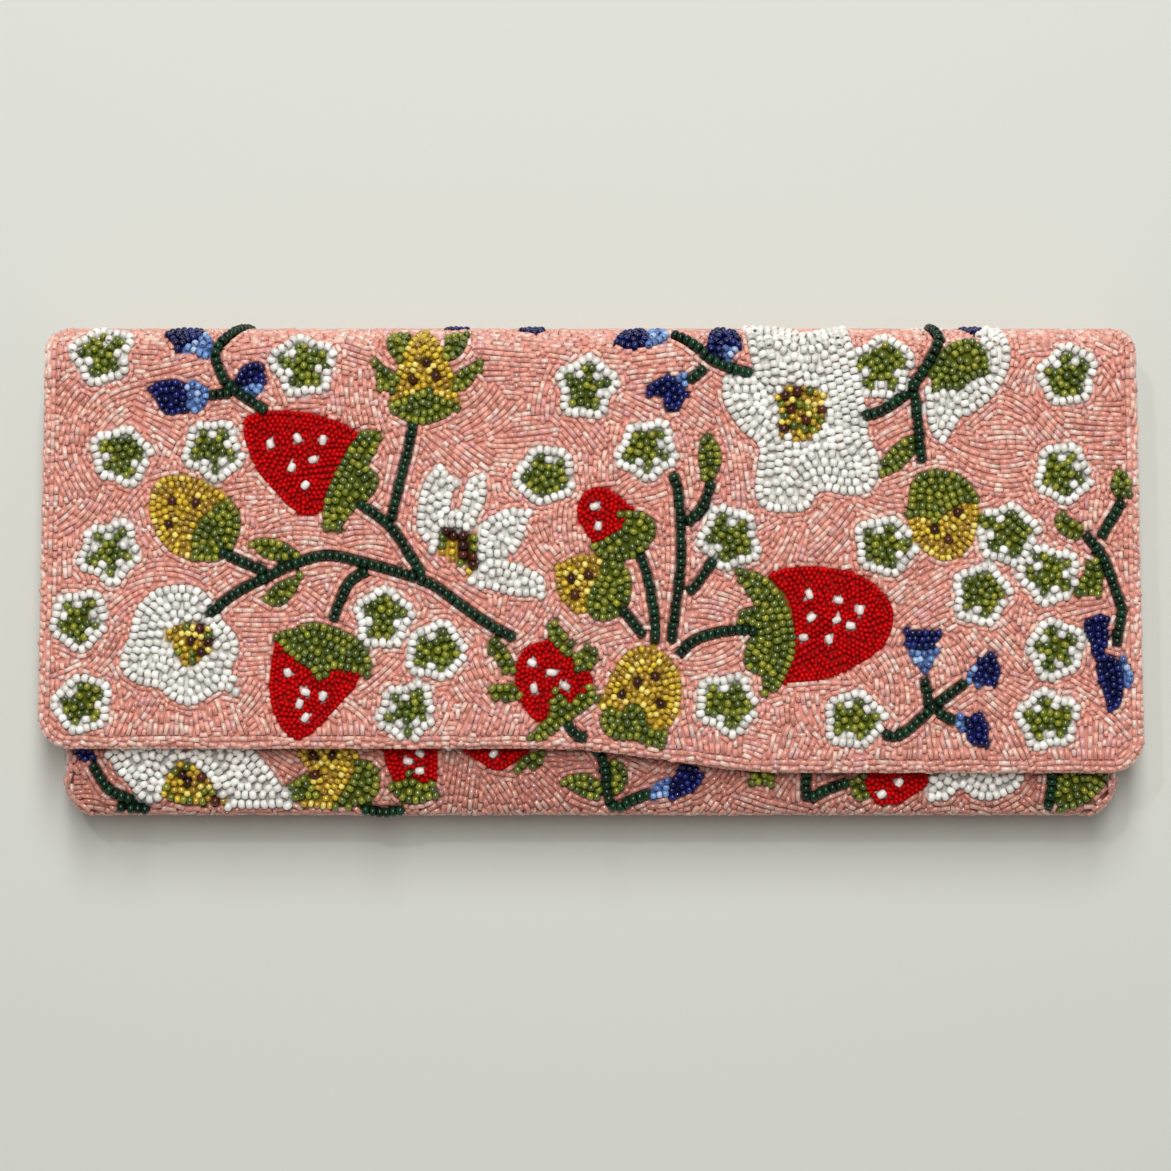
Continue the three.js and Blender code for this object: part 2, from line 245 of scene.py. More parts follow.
beadColours = {     # the linear colours that each kind comes in
    "bugle": [(0.83, 0.335, 0.26), (0.87, 0.395, 0.31), (0.78, 0.275, 0.21), (0.90, 0.54, 0.445),
              (0.83, 0.365, 0.29), (0.88, 0.60, 0.53), (0.75, 0.345, 0.335), (0.71, 0.25, 0.19)],
    "white": [(0.84, 0.82, 0.77), (0.80, 0.78, 0.73), (0.88, 0.86, 0.82)],
    "green": [(0.145, 0.175, 0.004), (0.085, 0.12, 0.004), (0.24, 0.25, 0.009), (0.055, 0.085, 0.007),
              (0.11, 0.14, 0.014), (0.19, 0.205, 0.006)],
    "stem": [(0.002, 0.024, 0.008), (0.002, 0.017, 0.006), (0.003, 0.034, 0.013)],
    "red": [(0.50, 0.001, 0.002), (0.43, 0.001, 0.002), (0.56, 0.002, 0.003)],
    "gold": [(0.52, 0.31, 0.004), (0.70, 0.47, 0.010), (0.38, 0.19, 0.003), (0.90, 0.72, 0.16),
             (0.60, 0.36, 0.004), (0.30, 0.15, 0.003)],
    "brown": [(0.055, 0.008, 0.004), (0.085, 0.014, 0.006), (0.035, 0.005, 0.003)],
    "navy": [(0.003, 0.006, 0.085), (0.002, 0.004, 0.055), (0.006, 0.012, 0.13)],
    "sky": [(0.05, 0.13, 0.42), (0.14, 0.29, 0.62), (0.03, 0.08, 0.30), (0.38, 0.52, 0.78)],
    "fleck": [(0.84, 0.74, 0.70), (0.86, 0.80, 0.77)],
}
kindNames = list(beadKinds)
gridStep = 0.25


def newCloth(surface, inside, uRange, vRange):
    # a cloth laid flat, with a map of how far each spot is from the nearest bead or border
    u = np.arange(uRange[0], uRange[1] + gridStep, gridStep)
    v = np.arange(vRange[0], vRange[1] + gridStep, gridStep)
    gridU, gridV = np.meshgrid(u, v, indexing="ij")
    return {"surface": surface, "u0": u[0], "v0": v[0],
            "room": inside(gridU, gridV).astype(np.float32), "beads": [],
            "dye": np.zeros(gridU.shape, np.int8), "near": np.zeros(gridU.shape, np.int8),
            "lean": np.zeros(gridU.shape, np.float32)}


def roomAt(cloth, u, v):
    room = cloth["room"]
    i = int(round((u - cloth["u0"]) / gridStep))
    j = int(round((v - cloth["v0"]) / gridStep))
    if i < 0 or j < 0 or i >= room.shape[0] or j >= room.shape[1]:
        return -9.0
    return room[i, j]


def cellsAt(cloth, u, v):
    # the map's cells under many spots
    rows, columns = cloth["room"].shape
    i = np.clip(np.round((u - cloth["u0"]) / gridStep).astype(int), 0, rows - 1)
    j = np.clip(np.round((v - cloth["v0"]) / gridStep).astype(int), 0, columns - 1)
    return i, j


def gridSpots(uRange, vRange, step):
    u, v = np.meshgrid(np.arange(*uRange, step), np.arange(*vRange, step), indexing="ij")
    return np.stack([u.ravel(), v.ravel()], 1)


def onGround(cloth, u, v):
    # whether the ground's bugles may lie here, as gaps inside the motifs stay clear of them
    near = cloth["near"]
    i = int(np.clip(round((u - cloth["u0"]) / gridStep), 0, near.shape[0] - 1))
    j = int(np.clip(round((v - cloth["v0"]) / gridStep), 0, near.shape[1] - 1))
    return near[i, j] == 0 or cloth["room"][i, j] > 1.15


def capsule(kind, angle, length):
    # a bead seen flat: half the spread of its core line, that line's direction, and its radius
    size = beadKinds[kind]
    across, along = size["across"] / 2, length / 2
    if along >= across:
        return along - across, math.cos(angle), math.sin(angle), across
    return across - along, -math.sin(angle), math.cos(angle), along


def fits(cloth, u, v, angle, kind, length, fit=None):
    spread, cu, cv, radius = capsule(kind, angle, length)
    need = radius * (beadKinds[kind]["fit"] if fit is None else fit)
    for t in (0, -1, 1, -0.5, 0.5):
        if roomAt(cloth, u + cu * spread * t, v + cv * spread * t) < need:
            return False
    return True


def sew(cloth, u, v, angle, kind, length=None):
    # puts a bead on the cloth and marks the room it takes
    length = beadKinds[kind]["along"] if length is None else length
    cloth["beads"].append((u, v, angle, kind, length))
    spread, cu, cv, radius = capsule(kind, angle, length)
    reach = spread + radius + 2.2
    room = cloth["room"]
    i0 = max(int((u - reach - cloth["u0"]) / gridStep), 0)
    i1 = min(int((u + reach - cloth["u0"]) / gridStep) + 1, room.shape[0])
    j0 = max(int((v - reach - cloth["v0"]) / gridStep), 0)
    j1 = min(int((v + reach - cloth["v0"]) / gridStep) + 1, room.shape[1])
    if i0 >= i1 or j0 >= j1:
        return
    du = (cloth["u0"] + gridStep * np.arange(i0, i1) - u)[:, None]
    dv = (cloth["v0"] + gridStep * np.arange(j0, j1) - v)[None, :]
    t = np.clip(du * cu + dv * cv, -spread, spread)
    away = np.hypot(du - t * cu, dv - t * cv) - radius
    nearer = away < room[i0:i1, j0:j1]
    room[i0:i1, j0:j1][nearer] = away[nearer]
    cloth["lean"][i0:i1, j0:j1][nearer] = angle
    cloth["near"][i0:i1, j0:j1][nearer] = kindNames.index(kind)
    cloth["dye"][i0:i1, j0:j1][nearer & (away < 0.7)] = kindNames.index(kind)


def evenly(points, step):
    points = np.asarray(points, float)
    leg = np.hypot(*np.diff(points, axis=0).T)
    run = np.concatenate([[0], np.cumsum(leg)])
    count = max(int(round(run[-1] / step)), 1)
    at = np.linspace(0, run[-1], count + 1)
    return np.stack([np.interp(at, run, points[:, k]) for k in range(points.shape[1])], 1)


def smoothPath(points, closed=False, step=0.35):
    # a smooth curve through a few points
    p = np.asarray(points, float)
    if len(p) < 3 and not closed:
        return evenly(p, step)
    if closed:
        p = np.vstack([p[-1], p, p[0], p[1]])
    else:
        p = np.vstack([2 * p[0] - p[1], p, 2 * p[-1] - p[-2]])
    t = np.linspace(0, 1, 9)[:-1, None]
    parts = []
    for a, b, c, d in zip(p[:-3], p[1:-2], p[2:-1], p[3:]):
        parts.append(0.5 * (2 * b + (c - a) * t + (2 * a - 5 * b + 4 * c - d) * t ** 2
                            + (3 * b - a - 3 * c + d) * t ** 3))
    parts.append(p[-2][None] if not closed else p[1][None])
    return evenly(np.vstack(parts), step)


def contains(loop, points):
    a, b = loop, np.roll(loop, -1, 0)
    x, y = points[:, 0][:, None], points[:, 1][:, None]
    spans = (a[:, 1] > y) != (b[:, 1] > y)
    rise = np.where(b[:, 1] == a[:, 1], 1e-9, b[:, 1] - a[:, 1])
    return (spans & (x < (b[:, 0] - a[:, 0]) * (y - a[:, 1]) / rise + a[:, 0])).sum(1) % 2 == 1


def offsetRuns(loop, distance):
    # the stretches of a closed loop moved inwards, or outwards where distance is negative
    p = loop[:-1] if np.allclose(loop[0], loop[-1]) else loop
    ahead = np.roll(p, -1, 0) - np.roll(p, 1, 0)
    ahead /= np.maximum(np.linalg.norm(ahead, axis=1), 1e-9)[:, None]
    area = np.sum(p[:, 0] * np.roll(p[:, 1], -1) - np.roll(p[:, 0], -1) * p[:, 1])
    inward = np.stack([-ahead[:, 1], ahead[:, 0]], 1) * (1 if area > 0 else -1)
    moved = p + inward * distance
    nearest = np.sqrt(((moved[:, None] - p[None]) ** 2).sum(2).min(1))
    good = nearest > abs(distance) - 0.08
    good &= contains(p, moved) == (distance > 0)
    if good.all():
        return [np.vstack([moved, moved[:1]])]
    first = int(np.argmin(good))
    good, moved = np.roll(good, -first), np.roll(moved, -first, 0)
    runs, current = [], []
    for ok, point in zip(good, moved):
        if ok:
            current.append(point)
        elif current:
            runs.append(np.array(current))
            current = []
    if current:
        runs.append(np.array(current))
    return runs


def threadAlong(cloth, path, kind, lengths=None, fit=None, gap=0.06):
    # beads threaded one after another along a path, skipping what is taken
    if len(path) < 2:
        if len(path) and fits(cloth, path[0][0], path[0][1], 0, kind, beadKinds[kind]["along"], fit):
            sew(cloth, path[0][0], path[0][1], 0, kind)
        return
    leg = np.hypot(*np.diff(path, axis=0).T)
    run = np.concatenate([[0], np.cumsum(leg)])
    at = 0.0
    total = run[-1]
    while at < total:
        length = beadKinds[kind]["along"] if lengths is None else dice.uniform(*lengths)
        end = min(at + length, total)
        if end - at < 0.55 * length:
            break
        a = [np.interp(at, run, path[:, 0]), np.interp(at, run, path[:, 1])]
        b = [np.interp(end, run, path[:, 0]), np.interp(end, run, path[:, 1])]
        angle = math.atan2(b[1] - a[1], b[0] - a[0])
        u, v = (a[0] + b[0]) / 2, (a[1] + b[1]) / 2
        length = end - at if kind == "bugle" else length
        if fits(cloth, u, v, angle, kind, length, fit):
            sew(cloth, u, v, angle, kind, length)
            at = end + gap
        else:
            at += 0.35


def packGaps(cloth, loop, kind, least=0.66):
    # single beads in what room is left inside an outline
    size = beadKinds[kind]
    radius = min(size["across"], size["along"]) / 2
    low, high = loop.min(0), loop.max(0)
    spots = gridSpots((low[0], high[0]), (low[1], high[1]), 0.3)
    spots = spots[contains(loop, spots)]
    for _ in range(400):
        if not len(spots):
            return
        room = cloth["room"][cellsAt(cloth, spots[:, 0], spots[:, 1])]
        best = int(np.argmax(room))
        if room[best] < radius * least:
            return
        sew(cloth, spots[best][0], spots[best][1], dice.uniform(0, math.pi), kind)
        spots = spots[room > radius * least * 0.9]


def fillShape(cloth, points, kind, ring=True):
    # rows of beads that follow an outline, one inside another
    loop = smoothPath(points, closed=True)
    across = beadKinds[kind]["across"]
    depth = across / 2 - 0.1
    while depth < 16:
        runs = offsetRuns(loop, depth)
        if not runs:
            break
        for path in runs:
            threadAlong(cloth, path, kind)
        depth += beadKinds[kind]["row"]
    packGaps(cloth, loop, kind)
    if ring:
        cloth.setdefault("rings", []).append(loop)


def stemRow(cloth, points):
    path = smoothPath(points)
    threadAlong(cloth, path, "stem", gap=-0.08)
    cloth.setdefault("stems", []).append(path)


def singleBeads(cloth, spots, kind):
    for u, v in spots:
        sew(cloth, u, v, dice.uniform(0, math.pi), kind)


# the small flowers
mini = {"ring": 6.9, "lobes": 0.13, "uneven": 0.045, "tucked": 0.6, "sizes": (0.95, 1.05)}


def miniFlower(cloth, u, v, size):
    # a five-lobed ring of white beads round a green heart
    phase, lean = dice.uniform(0, 2 * math.pi, 2)
    turn = np.linspace(0, 2 * math.pi, 120, endpoint=False)
    lobes = mini["lobes"] * dice.uniform(0.75, 1.3)
    uneven = mini["uneven"]
    reach = mini["ring"] * size * (1 + lobes * np.cos(5 * turn + phase) + uneven * np.cos(2 * turn + lean)
                                   + uneven * np.cos(3 * turn - 2 * lean))
    ring = np.stack([u + reach * np.cos(turn), v + reach * np.sin(turn)], 1)
    threadAlong(cloth, evenly(np.vstack([ring, ring[:1]]), 0.3), "white", gap=-0.02, fit=0.7)
    for k in range(5):     # a bead tucked in at some notches
        if dice.random() < mini["tucked"]:
            a = (math.pi * (2 * k + 1) - phase) / 5
            r = mini["ring"] * size * (1 - lobes) - 1.9
            sew(cloth, u + r * math.cos(a), v + r * math.sin(a), a, "white")
    heart = np.stack([u + (reach - 0.95) * np.cos(turn), v + (reach - 0.95) * np.sin(turn)], 1)
    fillShape(cloth, heart[::8], "green", ring=False)
    outer = np.stack([u + (reach + 1.15) * np.cos(turn), v + (reach + 1.15) * np.sin(turn)], 1)
    cloth.setdefault("rings", []).append(evenly(np.vstack([outer, outer[:1]]), 0.35))


# the pattern on the flap and over the fold, in millimetres as seen from above
flapStems = [
    [(-88, 66), (-89, 63), (-92.5, 60), (-96, 56), (-95.5, 53), (-93.5, 48.5), (-90, 45.5), (-83, 41)],
    [(-97.5, 45), (-92, 45.5)],
    [(-45.5, 38), (-46.5, 32), (-49, 22), (-51, 13)],
    [(-59.5, 17.5), (-55, 14.5), (-50.5, 10.5), (-43, -1)],
    [(-98, -11.5), (-91.5, -6), (-82, -1), (-75.5, 2), (-67.5, 4), (-57.5, 2), (-42.5, -2.5), (-35.5, -7),
     (-27, -13), (-19, -17.5)],
    [(-95, 5), (-89.5, 2.5), (-83.5, 0)],
    [(-57, 0), (-61.5, -2.5), (-64.5, -8.5), (-66, -13)],
    [(21, 60), (26, 57.5), (31, 54), (36, 52), (41, 50.5)],
    [(25, 48.5), (28, 51), (30, 52.5)],
    [(21, 25), (22.5, 20), (23, 10.5), (23, 0.5), (22, -7.5), (20.5, -19)],
    [(31, 23), (30, 19.5), (28, 15.5), (24.5, 12)],
    [(12.5, 4.5), (14.5, -1), (16.5, -12.5), (16.5, -18)],
    [(8, -9.5), (11.5, -14), (14, -17)],
    [(22.5, -21.5), (26, -18), (31.5, -16), (37.5, -15), (43, -15.5)],
    [(25, -5.5), (27.5, -3), (31.5, 3)],
    [(88, 66), (88, 62), (89.5, 58.5), (86.5, 53.5), (83, 48), (82, 46.5)],
    [(81, 45.5), (78.5, 43.5), (73.5, 40.5), (69, 39.5)],
    [(82.8, 45.8), (83.6, 40), (84.5, 30), (85, 26.5)],
    [(136, 18), (134.2, 14.5), (131.8, 10.8), (130.4, 7.6)],
    [(126.5, 9.5), (129, 6.5), (131.5, 3), (134, -4), (136, -10), (135, -15.5), (134.5, -20)],
    [(85.5, -27.5), (86.5, -34)],
    [(96, -28.5), (92, -31.5), (87.5, -35), (81.5, -40.5), (78, -42.5), (74.5, -41.5)],
    [(88.5, -36), (93, -38.5)],
    [(-6, -38.6), (-4.4, -41.4), (-1.2, -43)],
    [(7.5, -46), (12, -46.3)],
]
flapMinis = [
    (-125, 55.5), (-73.5, 52.5), (-120, 29.5), (-96.5, 31), (-123, 5), (-130.8, -12.5), (-130, -34),
    (-53, -12),
    (-39.5, -20.5), (-47, -36), (-1, 47), (-11.5, 24.5), (14.5, 31), (35.5, 8.5), (35, -34), (67.5, -38),
    (74.5, 52), (75.5, 6.5), (122, 50), (121, 25), (106.5, 9.5), (100, -6), (117.5, -1), (119, -20),
    (117, -38),
]


flapPattern = {
    "stems": flapStems,
    "minis": flapMinis,
    "berries": [     # each is its flecks, its leaves and its red body
        {"flecks": [(-82, 32.5), (-75, 34), (-68.5, 33.5), (-71, 28.5), (-76.5, 26.5), (-73, 22)],
         "leaves": [[(-54.5, 35.5), (-58.5, 36), (-62.5, 30.5), (-66, 24), (-68.5, 17), (-68, 11.5),
                     (-64.5, 10.5), (-60.5, 15.5), (-55.5, 19.5), (-54, 24), (-57, 27), (-54.5, 31)]],
         "red": [(-89, 37.5), (-85, 40.5), (-77.5, 41), (-68.5, 39.5), (-60, 35.5), (-62, 29.5), (-67.5, 18),
                 (-70.5, 14.5), (-75, 15), (-79.5, 19), (-86, 27)]},
        {"flecks": [(-77.5, -26), (-73, -31), (-74.5, -34), (-73, -37.5), (-68.5, -32)],
         "leaves": [[(-80.5, -16), (-75, -14.5), (-71.5, -13), (-65, -14.5), (-59.5, -17.5), (-56, -23),
                     (-57, -26.5), (-61, -26), (-66, -25), (-69.5, -28), (-72, -25), (-76, -22.5),
                     (-79.5, -19)]],
         "red": [(-80, -17.5), (-82, -26), (-82, -33), (-79.5, -39.5), (-76, -43), (-71.5, -41.5), (-65, -35),
                 (-59.5, -27), (-67.5, -24), (-75, -20)]},
        {"flecks": [(-15, -23.5), (-10, -26), (-14.5, -30), (-6.5, -29.5)],
         "leaves": [[(-24.5, -17.5), (-22, -19), (-19.5, -23.5), (-20, -25.5), (-22.5, -25), (-25.5, -21)],
                    [(-10, -13.5), (-7.5, -14.5), (-5, -18), (-6, -21.5), (-8.5, -20), (-11, -17)],
                    [(1, -19), (2, -23), (-1.5, -26), (-4, -24.5), (-3.5, -21)],
                    [(-25, -29.5), (-20, -29), (-18, -31), (-19.5, -33.5), (-23.5, -33)],
                    [(0, -29.5), (1.5, -33), (-2.5, -36.5), (-7, -39.5), (-11.5, -43), (-15.5, -44),
                     (-14.5, -40.5), (-10.5, -37), (-10.5, -32), (-8, -30.5), (-6, -33.5), (-3.5, -33.5)]],
         "red": [(-11.5, -18), (-17, -20), (-19, -25), (-19, -30.5), (-17, -35), (-13.5, -38.5), (-9.5, -36),
                 (-4.5, -33.5), (0.5, -29), (-1.5, -24), (-6, -20)]},
        {"flecks": [(1, 16.5), (2, 11.5)],
         "leaves": [[(7.5, 15), (12, 15.5), (15.5, 14), (17, 10.5), (15, 6.5), (12, 3.5), (6.5, 2.5),
                     (1.5, 4), (1, 6.5), (4.5, 9), (9, 12)]],
         "red": [(-2, 19.5), (1.5, 21.5), (6, 20), (10.5, 16), (9.5, 12), (4.5, 9), (1.5, 6.5), (-1.5, 10.5),
                 (-3.5, 15)]},
        {"flecks": [(56, -6), (63.5, -7.5), (69, -10), (56.5, -12), (63, -12.5), (66.5, -14), (54.5, -17),
                    (61, -17.5)],
         "leaves": [[(38, 0), (43, -0.5), (47.5, -4), (51.5, -11.5), (52.5, -20), (50.5, -26), (47.5, -31),
                     (44, -31), (44, -27), (40, -25.5), (39, -21.5), (41, -16.5), (37.5, -14), (38, -10),
                     (42, -9), (39.5, -5)]],
         "red": [(46, -1), (53, 1), (63, 0.5), (71.5, -2.5), (76.5, -8), (77.5, -12.5), (75, -19),
                 (68.5, -24), (60.5, -27.5), (52, -28.5), (49.5, -28), (52, -21.5), (52, -12.5),
                 (50.5, -6.5)]},
    ],
    "fruit": [     # half-ripe: brown spots, then leaves, the green end and the gold end
        {"spots": [(-107, 18), (-101, 17.5), (-108, 12)],
         "green": [(-92.5, 18), (-89.5, 13), (-91, 6.5), (-95, 2.5), (-101, 3), (-102, 8), (-99, 14)],
         "gold": [(-110.5, 23.5), (-104.5, 24.5), (-98, 22.5), (-92.5, 17.5), (-99.5, 14), (-102, 8),
                  (-101, 3.5), (-106, 4), (-111, 9), (-113, 17)]},
        {"spots": [(-42, 53.5), (-39.5, 50), (-45.5, 49)],
         "leaves": [[(-52, 59.5), (-48, 60.5), (-46.5, 58), (-49, 54), (-52, 56)],
                    [(-55.5, 53.5), (-52, 52), (-49.5, 49.5), (-51, 46), (-54.5, 47.5)],
                    [(-36.5, 59.5), (-32, 60.5), (-32, 56.5), (-35.5, 53.5), (-37.5, 56)],
                    [(-28, 53), (-31.5, 52.5), (-35, 50), (-34, 46), (-31, 47)]],
         "green": [(-51, 43), (-45.5, 45), (-42.5, 47), (-40, 45), (-34, 43), (-36.5, 39.5), (-42, 37.5),
                   (-48, 38.5)],
         "gold": [(-42.5, 61), (-39, 58), (-35.5, 51.5), (-34, 44.5), (-36, 42.5), (-40.5, 43.5),
                  (-45.5, 43.5), (-50, 42.5), (-51.5, 45), (-49.5, 51.5), (-46.5, 58)]},
        {"spots": [(-5, -2), (-0.5, -1), (-4, -6)],
         "green": [(4.5, 2.5), (9.5, 1), (10.5, -5), (9, -10), (4, -13), (-0.5, -11.5), (-1, -7), (1, -3)],
         "gold": [(-8, 1.5), (-3.5, 4), (1.5, 3.5), (4.5, 1.5), (1.5, -2.5), (-0.5, -6.5), (-1, -11),
                  (-5, -10), (-8.5, -5.5), (-9, -1)]},
        {"spots": [(94, 15), (88, 10.5), (91.5, 8)],
         "green": [(82.5, 23.5), (87.5, 26), (94, 25), (98.5, 21), (99, 18.2), (95, 17.4), (91.5, 15.4),
                   (88.5, 12.8), (86, 13.8), (81.5, 14.6)],
         "gold": [(81.5, 14.4), (86, 13.5), (88.5, 12.6), (91.5, 15.2), (95, 17.2), (99, 18), (98.5, 9),
                  (95, 4), (90, 2.5), (85, 5.5),
                  (82, 10)]},
        {"spots": [(12, -28.5), (16.5, -27), (8, -31.5), (18, -34)],
         "green": [(2.3, -37.5), (5, -34.7), (8.9, -36.3), (11.3, -33.9), (14.2, -36.8), (14.5, -40),
                   (19.1, -41.5), (19.3, -44.6), (13.7, -44.9), (12, -43), (7.9, -43.4), (3.5, -41.5)],
         "gold": [(13.7, -19.1), (9, -21), (6, -25.4), (4, -30.3), (3, -34.6), (5, -34.5), (8.9, -36.1),
                  (11.3, -33.7), (14.4, -36.6), (14.8, -39.8), (19.1, -41.2), (22, -37.1), (23.3, -31.2),
                  (22.4, -25.5), (18.6, -21)]},
    ],
    "blossoms": [     # white petals round a mixed heart
        {"heart": [(47.5, 44), (51, 46.5), (56.5, 47), (59.5, 45), (60, 37.5), (56.5, 34.5), (53.5, 33),
                   (51, 35), (48.5, 35), (49, 40)],
         "petals": [[(40.5, 62.5), (50.5, 61.5), (56, 60), (64.5, 62), (67.5, 55.5), (69, 49), (71, 38.5),
                     (71, 34.5), (73.5, 30), (73.5, 24), (71, 20), (64.5, 19.5), (60.5, 20.5), (57.5, 19.5),
                     (56.5, 16.5), (53, 15), (45, 15.5), (42, 19.5), (42.5, 26), (43, 32), (39, 35.5),
                     (35, 41), (33.5, 47.5), (37.5, 50), (42, 50), (40.5, 56)]]},
        {"heart": [(-108, -15), (-105.5, -13.5), (-102, -13.5), (-97.5, -15), (-97, -19), (-99, -21.5),
                   (-102, -24), (-105, -23), (-107, -19.5)],
         "petals": [[(-106.5, -3.5), (-100.5, -4), (-97, -7.5), (-94, -12.5), (-90.5, -16.5), (-90, -21.5),
                     (-92, -25), (-90.5, -31), (-95, -30.5), (-99.5, -33.5), (-103.5, -34.5), (-108, -32.5),
                     (-110.5, -30), (-116, -29), (-120.5, -25), (-119.5, -20), (-118, -16.5), (-116.5, -10),
                     (-112, -5)]]},
    ],
    "singles": [     # the bee's body, bead by bead
        ("brown", [(-37, 10.3), (-35, 9), (-32.6, 9), (-32.6, 6.6), (-32.6, 4.2), (-30, 3.6), (-30, 1.6)]),
        ("green", [(-38, 8.6), (-38, 6.6), (-29.8, 8.4), (-29.8, 6), (-33.4, 2)]),
        ("gold", [(-38, 4.8), (-35.4, 6.8), (-35.4, 4.9), (-35.3, 3.1), (-31.2, 0)]),
    ],
    "fills": [
        ("white", [(-40.5, 26), (-37, 26), (-34.5, 23), (-35, 20), (-36, 17), (-35.5, 14.5), (-32, 13),
                   (-32, 11), (-35.5, 11), (-38.5, 11), (-39, 6), (-40.5, 5.5), (-42.5, 7.5), (-44.5, 10),
                   (-44.5, 13.5), (-44, 18.5), (-42.5, 23)]),
        ("white", [(-31, 24), (-28.5, 24.5), (-26.5, 22.5), (-27, 17.5), (-29, 14), (-31, 12), (-33.5, 13.5),
                   (-34.5, 15.5), (-33, 16.5), (-32.5, 20)]),
        ("white", [(-28, 11), (-27, 13.5), (-23.5, 15), (-19.5, 16.5), (-16, 15), (-16, 12.5), (-17.5, 8),
                   (-19, 5), (-21, 3.5), (-25, 3.5), (-28.5, 4), (-28.5, 8)]),
        ("white", [(-28, 3), (-23.5, 3), (-19, 2), (-14.5, 0), (-11.5, -2), (-12, -6), (-15, -6.5),
                   (-19.5, -6.5), (-25, -5), (-28.5, -3.5), (-31, -2), (-28.5, -0.5)]),
        ("green", [(87.5, 51), (90, 56), (95, 58.5), (98.5, 58.5), (101.5, 55.5), (101.5, 51), (97.5, 49),
                   (94.5, 46.5), (90, 46.5), (87.5, 47.5)]),
        ("white", [(98.5, 59), (101.5, 61.5), (105.5, 61), (107.5, 56.5), (107, 52), (105, 47.5),
                   (102, 43.5), (97.5, 40.5), (95, 41.5), (94.5, 46), (98, 48.5), (102, 51), (102, 55.5)]),
        ("white", [(86, 46), (90, 46.5), (94.5, 46), (95.5, 41), (93.5, 37.5), (91, 33.5), (87.5, 34.5),
                   (86, 40)]),
        ("green", [(-87, 7.5), (-83, 8.5), (-77.5, 7), (-75, 4), (-79, 2.5), (-84, 3.5)]),
        ("green", [(-74, -1), (-76, -6), (-79, -9), (-83, -8.5), (-82.5, -5), (-79, -2.5)]),
        ("green", [(30.5, 34.5), (33, 32), (33.5, 27.5), (31.5, 23.5), (29, 24), (27.5, 28), (28, 32)]),
        ("green", [(83.5, 34.5), (81, 34.5), (76.5, 31), (73.5, 27), (73, 24), (76.5, 24.5), (80.5, 27),
                   (83, 30.5)]),
        ("green", [(135.5, 25.5), (138, 25), (138.5, 20.5), (137, 18.5), (134, 19), (133, 23)]),
        ("green", [(119, 14.5), (122.5, 14), (125.5, 11), (126, 8), (122, 8.5), (119, 11)]),
        ("green", [(129, 2.5), (130.5, 1.5), (131, -5), (127, -6.5), (124.5, -5.5), (125.5, -1.5)]),
        ("navy", [(-109, 61), (-104.5, 62.3), (-100.5, 62.3), (-99.5, 60), (-103, 58), (-105.5, 56),
                  (-107.5, 58)]),
        ("sky", [(-99.5, 61), (-97, 58.5), (-97, 54), (-99.5, 54.5), (-103.5, 56), (-105, 57),
        (-102.5, 58.5)]),
        ("navy", [(-112.5, 47.5), (-108.5, 49), (-104, 48.5), (-103.5, 44), (-104.5, 40.5), (-109, 40),
                  (-111.5, 44)]),
        ("sky", [(-103.5, 48), (-99.5, 48), (-97.5, 45.5), (-99, 41.5), (-103, 40.5)]),
        ("navy", [(-90, 51.5), (-86.5, 53.5), (-83.5, 53), (-83.5, 49), (-86.5, 48), (-90, 47.5)]),
        ("sky", [(-89.5, 47.5), (-86.5, 48), (-84, 48.5), (-85, 45), (-86.5, 44), (-88, 45)]),
        ("navy", [(6.5, 58.5), (9, 61.5), (14, 62), (14.5, 57.5), (12, 56.5), (8, 56.5)]),
        ("sky", [(14.5, 61.5), (18, 62), (20.5, 60.5), (18, 58), (15, 57)]),
        ("navy", [(30, 58.5), (32, 62), (36, 62), (38.5, 59.5), (38, 57), (34.5, 57.5), (33, 54.5),
        (30.5, 55)]),
        ("sky", [(35, 58), (38, 58.5), (38, 56), (35.5, 54), (33, 55)]),
        ("navy", [(14.5, 46.5), (17.5, 49.5), (20.5, 49.5), (21, 48), (18, 46), (15.5, 45)]),
        ("navy", [(18.5, 46), (22, 47.5), (24.5, 45), (22.5, 41.5), (19.5, 42)]),
        ("sky", [(20.5, 49.5), (24.5, 50), (25, 48), (23, 46.5), (21, 47)]),
        ("navy", [(128, -12), (131.5, -11), (132.5, -14.5), (132, -20.5), (129, -21), (127.5, -17.5),
                  (126.5, -15)]),
        ("navy", [(130, -22), (132.5, -21), (135.5, -23.5), (136.5, -30.5), (135, -35.5), (132.5, -35),
                  (131, -30.5), (129.5, -26)]),
        ("sky", [(135.5, -22), (138.5, -25), (139, -28), (137.5, -29.5), (136.5, -26.5)]),
        ("navy", [(81, -15.5), (85, -15), (89, -15.5), (88.5, -19.5), (85, -20), (81.5, -19.5)]),
        ("sky", [(82, -20), (85, -20.5), (88.5, -20), (87.5, -24), (85.5, -26.5), (83.5, -24)]),
        ("navy", [(100, -22.5), (103, -21.5), (105, -25), (104, -28.5), (100.5, -29.5), (98.5, -27)]),
        ("sky", [(100, -22.5), (98, -24), (96, -27), (97.5, -28.5), (100, -29.5), (99.5, -25.5)]),
        ("navy", [(97, -37.5), (100.5, -37), (102, -40.5), (101, -45), (97.5, -44.5), (96, -42)]),
        ("sky", [(93, -37.5), (96, -37), (97.5, -38.5), (96, -42), (93.5, -40)]),
        ("navy", [(-37.5, 62.5), (-34.5, 63.5), (-32, 62.5), (-35, 61.5)]),
        ("navy", [(-18, 62.3), (-14.5, 63.5), (-11.5, 62), (-14.5, 60.5)]),
        ("navy", [(95.5, 62.5), (98.5, 63.5), (101, 62.5), (98.5, 61)]),
    ],
}

